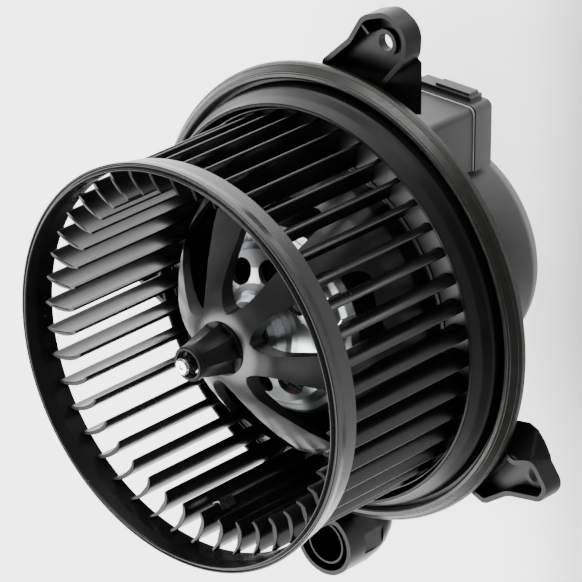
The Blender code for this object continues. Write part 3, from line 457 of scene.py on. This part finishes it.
def finish_frame_nodes():
    """Better materials for the frame's own solids that stay visible."""
    looks = (
        (SPRING, ("wheel_lock_clip", "magnet_clip_top", "magnet_clip_bottom", "front_bearing_retainer",
                  "brush_spring_left", "brush_spring_right", "balance_clip_3")),
        (CLIP, ("balance_clip_1", "balance_clip_2")),
        (LAMINATION, ("armature_core",)),
        (WIRE, ("winding_front", "winding_rear", "choke_coil_left", "choke_coil_right")),
        (COPPER, ("commutator", "connector_terminal_1", "connector_terminal_2", "connector_terminal_3")),
        (NYLON, ("thrust_washer_front", "thrust_washer_rear")),
        (FERRITE, ("magnet_left", "magnet_right", "choke_core_left", "choke_core_right")),
        (BRONZE, ("front_bearing", "rear_bearing")),
        (ZINC, ("can_end_plate", "cover_screw_1", "cover_screw_2", "cover_screw_3", "cover_screw_4")),
        (PHENOLIC, ("brush_plate",)),
        (CARBON, ("brush_left", "brush_right")),
        (PAD_RUBBER, ("motor_isolator_1", "motor_isolator_2", "motor_isolator_3")),
    )
    for look, nodes in looks:
        for node in nodes:
            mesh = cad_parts[node].data
            mesh.materials.clear()
            mesh.materials.append(look)


# ---------------------------------------------------------------- wheel
def make_ring():
    """Front ring: tapered band, outer edge bead, groove and rounded inner bead."""
    z = RING_TOP
    bore = 71.5
    back = 138.0
    corners = [(bore, back, 0.2), (bore, z - 4.0, 2.0), (72.0, z + 0.6, 0.5), (72.55, z + 1.15, 0.5),
               (73.0, z + 0.7, 0.5), (73.35, z - 0.55, 0.4), (73.9, z - 0.55, 0.3), (74.3, z + 0.1, 0.3),
               (RING_R - 0.05, z - 0.1, 0.4), (74.7, z - 2.4, 1.2), (73.7, z - 5.6, 2.5), (72.9, 138.2, 0.3),
               (72.3, back, 0.3)]
    dress(lathe("wheel_ring_fine", corners), "rotor", WHEEL, ["wheel_front_ring"])


BLADES = 44
BLADE_PHASE = -24.9
BLADE_IN_R = 60.3
BLADE_OUT_R = 71.15
BLADE_NOSE = 138.5
BLADE_CURVE = 8.4
BLADE_HEADING = -33.0
BLADE_THICK = 1.6
BLADE_CHAMFER = 0.35
BLADE_TIP_SHRINK = 0.08
BLADE_FOOT_FLARE = 0.3     # share of the foot fillet's growth that goes along the blade
BLADE_LEVELS = ((-0.5, 1.0), (0.05, 1.16), (0.5, 1.05), (1.1, 1.0))    # rise over the ring, growth
BASE_RING_THICK = 2.4
BASE_RING_LIP = 0.9
BASE_RING_IN_R = 59.35


def blade_section(steps=10, nose=5):
    """Closed blade section in (radius, clockwise offset), thickest in the middle, with round edges."""
    start = math.radians(BLADE_HEADING)
    stop = math.asin((BLADE_OUT_R - 0.3 - BLADE_IN_R) / BLADE_CURVE + math.sin(start))
    spine = []
    for i in range(steps + 1):
        a = start + (stop - start) * i / steps
        r = BLADE_IN_R + BLADE_CURVE * (math.sin(a) - math.sin(start))
        t = BLADE_CURVE * (math.cos(start) - math.cos(a))
        half = BLADE_THICK / 2 * (0.55 + 0.45 * math.sin(math.pi * i / steps))
        spine.append((r, t, a, half))

    def offset(point, turn):
        r, t, a, half = point
        return r + half * math.cos(a + turn), t + half * math.sin(a + turn)

    section = [offset(p, math.pi / 2) for p in spine]
    section += [offset(spine[-1], math.pi / 2 - math.pi * k / nose) for k in range(1, nose)]
    section += [offset(p, -math.pi / 2) for p in spine[::-1]]
    section += [offset(spine[0], -math.pi / 2 - math.pi * k / nose) for k in range(1, nose)]
    return section


def middle_of(points):
    """Average of a loop's points, seen along the shaft."""
    return sum(p[0] for p in points) / len(points), sum(p[1] for p in points) / len(points)


def make_base_ring():
    """Ring at the blades' feet, with a raised outer lip."""
    top = CAGE_LOW + BASE_RING_THICK
    lip = top + BASE_RING_LIP
    ring = [(BASE_RING_IN_R, CAGE_LOW, 0.3), (CAGE_R, CAGE_LOW, 0.5), (CAGE_R, lip, 0.3),
            (CAGE_R - 0.7, lip, 0.3), (CAGE_R - 1.0, top, 0.4), (BASE_RING_IN_R, top, 0.3)]
    dress(lathe("wheel_base_ring_fine", ring), "rotor", WHEEL, ["wheel_cage"])


def blade_rings(section, angle):
    """Loops of one blade from its filleted foot to its chamfered front, which rises outwards."""
    out = (math.sin(angle), math.cos(angle))
    side = (math.cos(angle), -math.sin(angle))
    centre = middle_of(section)
    foot = CAGE_LOW + BASE_RING_THICK
    slope = (BLADE_SHOULDER - BLADE_NOSE) / (BLADE_OUT_R - BLADE_IN_R) ** 2
    widest = BLADE_OUT_R + 0.2
    rings = []
    for rise, grow in BLADE_LEVELS + ((None, 1.0),):
        loop = []
        for r, t in section:
            radius = min(centre[0] + (r - centre[0]) * (1 + (grow - 1) * BLADE_FOOT_FLARE), widest)
            offset = centre[1] + (t - centre[1]) * grow
            height = BLADE_NOSE + slope * max(0.0, r - BLADE_IN_R) ** 2 if rise is None else foot + rise
            loop.append((radius * out[0] + offset * side[0], radius * out[1] + offset * side[1], height))
        rings.append(loop)
    front = rings.pop()
    mx, my = middle_of(front)
    shrink = BLADE_TIP_SHRINK
    rings.append([(x, y, z - BLADE_CHAMFER) for x, y, z in front])
    rings.append([(x + (mx - x) * shrink, y + (my - y) * shrink, z) for x, y, z in front])
    return rings


def make_blades():
    """All the blades, which stand on the base ring."""
    section = blade_section()
    bm = bmesh.new()
    for i in range(BLADES):
        loops = add_rings(bm, blade_rings(section, math.radians(BLADE_PHASE + 360.0 * i / BLADES)))
        bm.faces.new(loops[0][::-1])
        bm.faces.new(loops[-1])
    dress(make("wheel_blades_fine", bm), "rotor", WHEEL, sharp=60.0)


BOSS_FLUTES = 8
BOSS_FOOT_Z = 127.2
BOSS_R = 9.9
BOSS_COLLAR = 2.6
BOSS_SEAT_R = 6.9
BOSS_BACK_Z = 116.0
FLUTE_DEPTH = 2.5
FLUTE_FADE = 3.0      # length over which the flutes run out below the collar
FLUTE_POWER = 0.8     # below 1, for round scoops between sharp ridges
BOSS_SKIN_R = 6.0     # points nearer to the axis belong to the bore
WINDOWS = 6
WINDOW_PHASE = 7.0


def boss_flutes(radius, z, angle):
    """Scooped flutes between sharp ridges, running out on the dome as a star."""
    if radius < BOSS_SKIN_R or z < BOSS_FOOT_Z + 0.1 or z > BOSS_TOP - BOSS_COLLAR:
        return radius
    fade = min(1.0, (BOSS_TOP - BOSS_COLLAR - z) / FLUTE_FADE)
    depth = FLUTE_DEPTH * (BOSS_TOP - z) / (BOSS_TOP - BOSS_FOOT_Z)
    return radius - fade * depth * abs(math.sin(BOSS_FLUTES / 2 * angle)) ** FLUTE_POWER


def window_outline(centre_angle):
    """One hub window: a round inner end, straight radial sides and rounded outer corners."""
    inner_r, full_r, outer_r_end, half_angle = 13.7, 23.0, 50.0, 18.5
    corner, corner_angle = 5.0, 6.5
    span = full_r - inner_r
    side = []
    for i in range(13):
        r = inner_r + span * (1 - math.cos(math.radians(90.0 * i / 12)))
        share = math.sqrt(max(0.0, 1 - ((full_r - r) / span) ** 2))
        side.append((r, half_angle * share))
    for i in range(1, 9):
        turn = math.radians(90.0 * i / 8)
        side.append((outer_r_end - corner + corner * math.sin(turn),
                     half_angle - corner_angle * (1 - math.cos(turn))))
    right = [clock(r, centre_angle + half) for r, half in side]
    left = [clock(r, centre_angle - half) for r, half in reversed(side[1:])]
    return right + left


def make_dome():
    """Bell-shaped dome with its windows and a flat foot."""
    outside = [(7.0, BOSS_FOOT_Z - 0.1), (13.0, 126.0, 25), (21.0, 121.9, 30), (30.0, 115.0, 30),
               (40.0, 106.2, 25), (47.5, 98.2, 20), (52.5, 90.6, 16), (55.8, 83.0, 12), (57.6, 76.6, 1.0),
               (59.0, 76.0, 0.3), (59.0, CAGE_LOW, 0.3)]
    inside = [(55.4, CAGE_LOW, 0.4), (53.4, 82.6, 12), (50.2, 89.5, 16), (45.5, 96.5, 20), (38.4, 104.0, 25),
              (28.8, 111.6, 25), (19.2, 117.5, 20), (9.0, 120.4, 2), (7.0, 119.0)]
    hub = lathe("wheel_hub_fine", outside + inside, segments=256)
    bm = bmesh.new()
    for i in range(WINDOWS):
        add_prism(bm, window_outline(WINDOW_PHASE + 360.0 / WINDOWS * i), 84.0, 130.0)
    cut(hub, make("windows", bm))
    dress(hub, "rotor", HUB, ["wheel_hub"], bevel=0.28)


def make_boss():
    """Fluted boss with a plain front collar and a bore stepped for the lock clip."""
    bore_r = SHAFT_R + GAP
    clip_r = 4.9
    clip_z = 140.5
    collar = [(5.9, BOSS_TOP, 0.4), (6.4, BOSS_TOP - 0.3, 0.4), (6.5, BOSS_TOP - 2.2, 0.3),
              (6.3, BOSS_TOP - BOSS_COLLAR, 0.2)]
    flank = [(6.9, 139.5), (7.5, 137.0), (8.1, 134.5), (8.7, 132.0), (9.3, 129.6),
             (BOSS_R, BOSS_FOOT_Z + 0.4), (BOSS_R + 0.1, BOSS_FOOT_Z)]
    bore = [(BOSS_SEAT_R, BOSS_FOOT_Z), (BOSS_SEAT_R, BOSS_BACK_Z), (bore_r, BOSS_BACK_Z, 0.2),
            (bore_r, clip_z), (clip_r, clip_z), (clip_r, BOSS_TOP, 0.3)]
    boss = lathe("wheel_boss_fine", collar + flank + bore, boss_flutes, 384)
    dress(boss, "rotor", BOSS, sharp=38.0)


def make_shaft():
    """Ground shaft with chamfered ends and a centre dimple."""
    top, low = top_z("rotor_shaft"), low_z("rotor_shaft")
    corners = [(0, low), (SHAFT_R - 0.5, low), (SHAFT_R, low + 0.5), (SHAFT_R, top - 0.6, 0.2),
               (2.4, top, 0.15), (0.9, top, 0.1), (0, top - 0.7)]
    shaft = lathe("shaft_fine", corners, segments=72)
    dress(shaft, "rotor", STEEL, ["rotor_shaft"])


# ---------------------------------------------------------------- motor case
VENT_RING_R = 21.5
VENT_HALF_R, VENT_HALF_ROUND = 4.6, 5.6
VENT_ANGLES = (-33, 6, 45, 147, 186, 225)


def make_can():
    """Drawn case with its stepped nose, pressed rings and six vents."""
    w = CAN_WALL
    outside = [(5.0, NOSE_TOP, 0.2), (9.9, NOSE_TOP, 1.2), (12.0, NOSE_TOP - 2.0, 0.8), (13.4, 108.0, 1.2),
               (14.6, 106.4, 0.8), (16.8, 105.4, 0.8), (22.0, 104.0, 2), (28.4, 101.6, 1.2),
               (30.3, 99.4, 0.8), (30.8, 97.2, 0.8), (33.6, 96.2, 1.4), (CAN_R, 94.0, 1.4),
               (CAN_R, CAN_REAR, 0.3)]
    inside = [(CAN_R - w, CAN_REAR, 0.3), (CAN_R - w, 93.6, 1), (29.4, 96.2, 0.8), (28.4, 99.6, 0.8),
              (15.6, 103.8, 0.8), (13.2, 105.6, 0.8), (10.8, 111.2, 0.8), (9.2, 112.1, 0.6),
              (5.0, 112.1, 0.2)]
    can = lathe("motor_can_fine", outside + inside)
    bm = bmesh.new()
    hole = [(VENT_RING_R + x, y) for x, y in circle((0.0, 0.0), VENT_HALF_R, 40, VENT_HALF_ROUND)]
    for a in VENT_ANGLES:
        ux, uy = clock(1.0, a)
        add_prism(bm, [(r * ux + t * uy, r * uy - t * ux) for r, t in hole], 96.6, 108.0)
    cut(can, make("vents", bm))
    dress(can, "housing", ZINC, ["motor_can"], bevel=0.2)


# ---------------------------------------------------------------- flange
def flange_corners():
    """Flange section: bowl wall, rolled lip, cone, ridge, groove, rim and plate."""
    low, high = PLATE_LOW, PLATE_LOW + 2.5
    return [(37.6, low, 0.3), (37.6, high + 3.0, 0.4), (39.6, high + 3.0, 0.4), (40.0, high, 0.5),
            (70.4, high, 1.5), (73.4, high + 3.0, 1.5), (73.4, LIP_Z - 0.3, 0.3), (73.9, LIP_Z, 0.4),
            (74.9, LIP_Z - 0.2, 0.5),
            (76.4, 76.6, 9), (78.0, 73.6, 0.8), (78.5, 72.4, 0.5), (78.8, 70.2, 0.5), (79.0, 67.2, 0.5),
            (81.4, 67.0, 0.3), (81.9, 69.4, 0.2), (82.4, 69.6, 0.2), (84.5, 66.0, 0.2), (84.5, 64.3, 0.2),
            (83.2, 64.3, 0.2), (82.6, high, 0.2), (82.6, low, 0.3)]


def top_ear():
    """Corners of the top ear, seen from the wheel's open end."""
    return [(-11.0, 79.0), (-10.6, 86.0, 3), (1.2, 97.2, 6), (7.4, 107.6, 8), (18.5, 111.8, 8),
            (28.2, 106.2, 8), (27.6, 95.5, 8), (19.0, 85.0, 4), (16.5, 79.0)]


def right_ear():
    """Corners of the right ear, seen from the wheel's open end."""
    return [(72.0, -34.5), (79.2, -40.8, 3), (88.4, -37.6, 5), (95.6, -47.4, 5), (92.4, -52.8, 4),
            (77.5, -55.4, 10), (66.8, -62.6, 4), (61.6, -60.6, 2), (55.5, -56.5)]


TOP_WEB = ([(14.0, 73.5), (18.0, 73.5), (20.5, 87.5), (14.0, 88.0)],
           [(14.0, 73.5), (28.2, 73.5), (28.2, 93.0), (24.0, 96.0), (14.0, 88.0)])
RIGHT_WEB = ([(72.0, -38.0), (79.2, -41.2), (87.0, -39.6), (80.0, -46.0), (72.0, -46.0)],
             [(69.0, -33.5), (74.4, -29.8), (80.2, -28.8), (84.0, -30.2), (87.2, -33.8), (89.8, -38.4),
              (91.0, -44.0), (70.0, -46.0)])
TOP_HOLE = (14.5, 97.8)
RIGHT_HOLE = (86.0, -46.0)
LEFT_TURN = 14.0
EAR_TOP = 62.9
EAR_WALL = 1.9
PAD_TOP = 58.0
PAD_R = 4.9
SCREW_HOLE_R = 3.1


def left_side(outline):
    """Points of the right ear mirrored, then turned about the shaft."""
    turn = math.radians(LEFT_TURN)
    c, s = math.cos(turn), math.sin(turn)
    return [(-x * c + y * s, x * s + y * c) for x, y in outline]


def make_ear(flange, outline, hole, web):
    """One hollow ear with its brace, raised pad and screw hole, joined to the flange."""
    shrunk = [(x, y) for x, y in inset(outline, EAR_WALL) if math.hypot(x, y) > SEAL_R - 1.0]
    bm = bmesh.new()
    top, foot = web
    corners = [(x, y, EAR_TOP - 0.6) for x, y in top] + [(x, y, EAR_FLOOR) for x, y in foot]
    bmesh.ops.convex_hull(bm, input=[bm.verts.new(corner) for corner in corners])
    cut(flange, prism("ear", outline, EAR_FLOOR, EAR_TOP), 'UNION')
    cut(flange, make("web", bm), 'UNION')
    cut(flange, prism("pocket", shrunk, EAR_FLOOR + EAR_WALL, EAR_TOP + 1.0))
    cut(flange, prism("pad", circle(hole, PAD_R), EAR_FLOOR + 0.5, PAD_TOP), 'UNION')
    cut(flange, prism("hole", circle(hole, SCREW_HOLE_R), EAR_FLOOR - 5.0, EAR_TOP + 5.0))


def make_flange():
    """Bowl, cone and rim with three hollow ears, and a small rib in the top one."""
    flange = lathe("mount_flange_fine", flange_corners())
    right = rounded(right_ear(), 8)
    left_hole = left_side([RIGHT_HOLE])[0]
    left_web = [left_side(part) for part in RIGHT_WEB]
    make_ear(flange, rounded(top_ear(), 8), TOP_HOLE, TOP_WEB)
    rib = [(6.6, 103.6), (10.2, 100.9), (10.8, 101.7), (7.2, 104.4)]
    cut(flange, prism("rib", rib, EAR_FLOOR + 1.0, EAR_TOP - 0.5), 'UNION')
    make_ear(flange, right, RIGHT_HOLE, RIGHT_WEB)
    make_ear(flange, left_side(right), left_hole, left_web)
    dress(flange, "housing", HOUSING, ["mount_flange"], bevel=0.35)


def make_seal():
    """Rubber seal over the rim: flat front, sloping skirt with two raised lines."""
    z = SEAL_TOP
    corners = [(80.7, 67.8, 0.2), (80.9, z - 0.4, 0.4), (81.6, z, 0.4), (82.9, z, 0.4), (83.3, z - 0.7, 0.2),
               (83.5, z - 0.75, 0.1), (85.2, 67.9, 0.2), (85.35, 68.0, 0.1), (SEAL_R - 0.05, 66.8, 0.4),
               (SEAL_R, 66.2, 0.3), (SEAL_R, SEAL_BACK, 0.3), (84.95, SEAL_BACK, 0.2), (84.95, 66.1),
               (82.8, 69.95), (82.5, 70.05), (81.75, 69.95), (81.3, 67.8)]
    dress(lathe("flange_seal_fine", corners), "housing", RUBBER, ["flange_seal"], sharp=70.0)


# ---------------------------------------------------------------- rear
BOX_LEFT, BOX_RIGHT = -13.5, 23.0
BOX_TOP_Y = 63.0
BOX_ROUND = 2.6
LID_GROW = 0.8
GASKET_GROW = 0.35
GASKET_WIDTH = 1.6
RIM_R = 54.0
RIM_THICK = 3.0
PORT_HALF_X, PORT_HALF_Z = 9.7, 3.5
DUCT_X, DUCT_Y = 1.8, -97.1
DUCT_LOW_Z = 51.0
DUCT_WALL = 1.8
DUCT_HALF_X, DUCT_HALF_Y = 13.0, 12.5     # at the mouth
DUCT_END_X, DUCT_END_Z = 12.0, 5.8        # at the cover
RIM_CLEAR = SEAL_R + 0.4
COVER_CLEAR = COVER_R + GAP + 0.1


def connector_outline(grow=0.0, inner_r=COVER_R + 2.6):
    """Connector box seen along the shaft: its foot follows the round cover."""
    x0, x1 = BOX_LEFT - grow, BOX_RIGHT + grow
    y1 = BOX_TOP_Y + grow
    foot = [x0 + (x1 - x0) * i / 14 for i in range(15)]
    corners = [(x, math.sqrt(inner_r ** 2 - x ** 2)) for x in foot]
    return rounded(corners + [(x1, y1, BOX_ROUND), (x0, y1, BOX_ROUND)])


def make_cover():
    """Cup with a soft back edge, a bolted rim, a notch for the connector and a port for the duct."""
    r, w, top = COVER_R, COVER_WALL, COVER_TOP
    rim = top - RIM_THICK
    outside = [(0, 0), (r - 8.5, 0, 3), (r - 2.6, 2.4, 6), (r, 8.5, 6), (r, rim, 1.5), (RIM_R, rim, 0.6),
               (RIM_R, top, 0.4)]
    inside = [(r - w, top, 0.4), (r - w, 8.8, 4), (r - w - 3.0, 3.4, 3), (r - w - 6.8, w, 2), (0, w)]
    cover = lathe("rear_cover_fine", outside + inside)
    cut(cover, prism("notch", connector_outline(GAP, COVER_R - 0.3), top - 8.0, top + 2.0))
    bm = bmesh.new()
    loops = []
    for y in (-COVER_R - 5.0, -COVER_R + 10.0):
        loops.append([(px, y, pz) for px, pz in circle((DUCT_X, DUCT_LOW_Z), PORT_HALF_X, 48, PORT_HALF_Z)])
    caps = add_rings(bm, loops)
    bm.faces.new(caps[0][::-1])
    bm.faces.new(caps[1])
    cut(cover, make("port", bm))
    dress(cover, "housing", COVER, ["rear_cover"], bevel=0.25)


def clear_of(limit, x, y):
    """Point pushed outwards where it is nearer to the shaft than a limit."""
    scale = max(1.0, limit / math.hypot(x, y))
    return x * scale, y * scale


def duct_loops(wall, sides=72):
    """The duct's loops from its mouth back and in to the cover, set in by the wall."""
    path = [(DUCT_Y, 75.0, 0.0, DUCT_HALF_X, DUCT_HALF_Y), (DUCT_Y, 68.0, 0.0, DUCT_HALF_X, DUCT_HALF_Y),
            (DUCT_Y, 62.0, 0.0, DUCT_HALF_X, DUCT_HALF_Y), (DUCT_Y + 0.6, 58.2, 0.2, 12.8, 12.0),
            (DUCT_Y + 1.5, 55.5, 0.45, 12.6, 11.0), (DUCT_Y + 4.2, 53.2, 0.7, 12.4, 9.8),
            (DUCT_Y + 7.5, 52.0, 0.95, 12.2, 8.5), (DUCT_Y + 10.2, 51.3, 1.18, 12.1, 7.3),
            (DUCT_Y + 13.0, DUCT_LOW_Z, 1.4, DUCT_END_X, 6.4),
            (DUCT_Y + 19.0, DUCT_LOW_Z, math.pi / 2, DUCT_END_X, DUCT_END_Z)]
    loops = []
    for y, z, tilt, half_width, half_height in path:
        limit = (RIM_CLEAR if z > PLATE_LOW else COVER_CLEAR) + wall
        loop = []
        for i in range(sides):
            a = 2 * math.pi * i / sides
            x, v = (half_width - wall) * math.sin(a), (half_height - wall) * math.cos(a)
            px, py = clear_of(limit, DUCT_X + x, y + v * math.cos(tilt))
            loop.append((px, py, z + v * math.sin(tilt)))
        loops.append(loop)
    end = []
    for i in range(sides):
        a = 2 * math.pi * i / sides
        x = DUCT_X + (DUCT_END_X - wall) * math.sin(a)
        z = DUCT_LOW_Z + (DUCT_END_Z - wall) * math.cos(a)
        end.append((x, -math.sqrt(COVER_CLEAR ** 2 - x ** 2), z))
    return loops + [end]


def make_duct():
    """Snorkel beside the rim, with a recessed panel on its side."""
    bm = bmesh.new()
    add_rings(bm, duct_loops(0.0) + duct_loops(DUCT_WALL)[::-1], closed=True)
    duct = make("cooling_duct_fine", bm)
    recess = block("recess", (DUCT_X + 12.1, DUCT_Y - 3.4, 56.5), (DUCT_X + 14.0, DUCT_Y + 4.5, 66.5))
    cut(duct, recess)
    dress(duct, "housing", HOUSING, ["cooling_duct"], bevel=0.25)


def make_duct_liner():
    """Tube nested in the duct's mouth, with a collar at its back end."""
    seat, top = low_z("duct_liner"), top_z("duct_liner")
    collar = DUCT_HALF_Y - DUCT_WALL - GAP
    outer, inner = 8.6, 7.4
    section = rounded([(outer, top, 0.3), (outer, seat + 2.0, 0.3), (collar, seat + 1.5, 0.2),
                       (collar, seat, 0.2), (inner, seat, 0.2), (inner, top, 0.3)], 3)
    rings = []
    for radius, z in section:
        limit = RIM_CLEAR + DUCT_WALL + GAP + (collar - radius) * 0.3
        outline = circle((DUCT_X, DUCT_Y), radius, 72)
        rings.append([(*clear_of(limit, px, py), z) for px, py in outline])
    bm = bmesh.new()
    add_rings(bm, rings, closed=True)
    dress(make("duct_liner_fine", bm), "housing", HOUSING, ["duct_liner"], sharp=70.0)


def make_connector():
    """Connector box, its lid with a stepped tab and a plug socket, and the gasket in the seam."""
    split, back, top = low_z("connector_housing"), low_z("connector_lid"), COVER_TOP
    outline = connector_outline()
    box = prism("connector_box_fine", outline, split, top)
    cut(box, prism("pocket", inset(outline, 2.0), split - 1.0, 38.0))
    dress(box, "housing", COVER, ["connector_housing"], bevel=0.3)

    lid = prism("connector_lid_fine", connector_outline(LID_GROW), back, split - GAP)
    tab = block("tab", (-6.0, BOX_TOP_Y - 1.0, back + 0.5), (19.5, BOX_TOP_Y + 2.6, split - 2.4))
    cut(lid, tab, 'UNION')
    step = block("tab_step", (2.5, BOX_TOP_Y - 1.0, back + 1.1), (18.3, BOX_TOP_Y + 3.6, split - 3.2))
    cut(lid, step, 'UNION')
    socket = block("socket", (-10.0, 49.0, back - 2.0), (19.0, BOX_TOP_Y - 2.4, split + 2.0))
    cut(lid, socket)
    dress(lid, "housing", LID, ["connector_lid"], bevel=0.35)

    seam = connector_outline(GASKET_GROW)
    gasket = prism("connector_gasket", seam, split - GAP + 0.02, split - 0.02)
    cut(gasket, prism("inner", inset(seam, GASKET_WIDTH), split - 1.0, split + 1.0))
    dress(gasket, "housing", GASKET)


# ---------------------------------------------------------------- stage
def make_stage():
    """Pale floor under the blower's flat back; it glows on the left and hardly on the right."""
    bm = bmesh.new()
    bmesh.ops.create_grid(bm, x_segments=8, y_segments=8, size=6.0)
    mesh = bpy.data.meshes.new("floor")
    bm.to_mesh(mesh)
    bm.free()
    floor = bpy.data.objects.new("floor", mesh)
    bpy.context.scene.collection.objects.link(floor)
    floor.location.z = -0.0005
    n = Nodes("pale_floor", (0.93, 0.93, 0.93), 0.9)
    n.link(n.span(n.noise(3.0), 0.88, 0.94), n.shader.inputs["Roughness"])
    xyz = n.add("ShaderNodeSeparateXYZ")
    n.link(n.place, xyz.inputs[0])
    glow = n.add("ShaderNodeMapRange", interpolation_type='SMOOTHSTEP')
    fade_from, fade_to, left_glow, right_glow = 0.02, 0.08, 2.5, 0.1
    for socket, number in zip(glow.inputs[1:5], (fade_from, fade_to, left_glow, right_glow)):
        socket.default_value = number
    n.link(xyz.outputs[0], glow.inputs["Value"])
    n.shader.inputs["Emission Color"].default_value = (1.0, 1.0, 1.0, 1.0)
    n.link(glow.outputs["Result"], n.shader.inputs["Emission Strength"])
    mesh.materials.append(n.material)


def make_camera():
    """Long lens, looking into the wheel from the front and above."""
    aim = Vector((0.0, 0.0, 0.150))
    right = Vector((0.7408, 0.0, -0.6718)).normalized()
    down = Vector((0.2886, -0.9030, 0.3182)).normalized()
    ahead = Vector((-0.6066, -0.4296, -0.6689)).normalized()
    side_shift, down_shift, distance = -0.0398, 0.0273, 1.6196
    place = aim - (right * side_shift + down * down_shift + ahead * distance)
    camera = bpy.data.cameras.new("camera")
    camera.sensor_width = 36.0
    camera.lens = 291.03
    camera.clip_end = 30.0
    holder = bpy.data.objects.new("camera", camera)
    columns = (right, -down, -ahead, place)
    rows = [[column[k] for column in columns] for k in range(3)] + [[0.0, 0.0, 0.0, 1.0]]
    holder.matrix_world = Matrix(rows)
    bpy.context.scene.collection.objects.link(holder)
    bpy.context.scene.camera = holder


def add_softbox(name, place, aim, size, power):
    """Square area light at a place, turned to a point."""
    light = bpy.data.lights.new(name, 'AREA')
    light.shape = 'RECTANGLE'
    light.size, light.size_y = size
    light.energy = power
    lamp = bpy.data.objects.new(name, light)
    lamp.location = place
    lamp.rotation_euler = (Vector(place) - Vector(aim)).to_track_quat('Z', 'Y').to_euler()
    bpy.context.scene.collection.objects.link(lamp)


def make_lights():
    """Dim white surroundings and three softboxes."""
    world = bpy.data.worlds.new("studio")
    bpy.context.scene.world = world
    world.use_nodes = True
    background = world.node_tree.nodes["Background"]
    background.inputs["Color"].default_value = (1.0, 1.0, 1.0, 1.0)
    background.inputs["Strength"].default_value = 0.2
    centre = (0.0, 0.0, 0.08)
    add_softbox("key", (-0.1, 1.25, 0.6), centre, (0.9, 0.5), 14.0)
    add_softbox("front", (-0.6, -0.6, 1.3), centre, (1.5, 1.2), 52.0)
    add_softbox("right", (0.9, -0.75, 1.1), centre, (0.5, 0.5), 1.6)


make_stage()
make_camera()
make_lights()
finish_frame_nodes()
make_ring()
make_base_ring()
make_blades()
make_dome()
make_boss()
make_shaft()
make_can()
make_flange()
make_seal()
make_cover()
make_duct()
make_duct_liner()
make_connector()
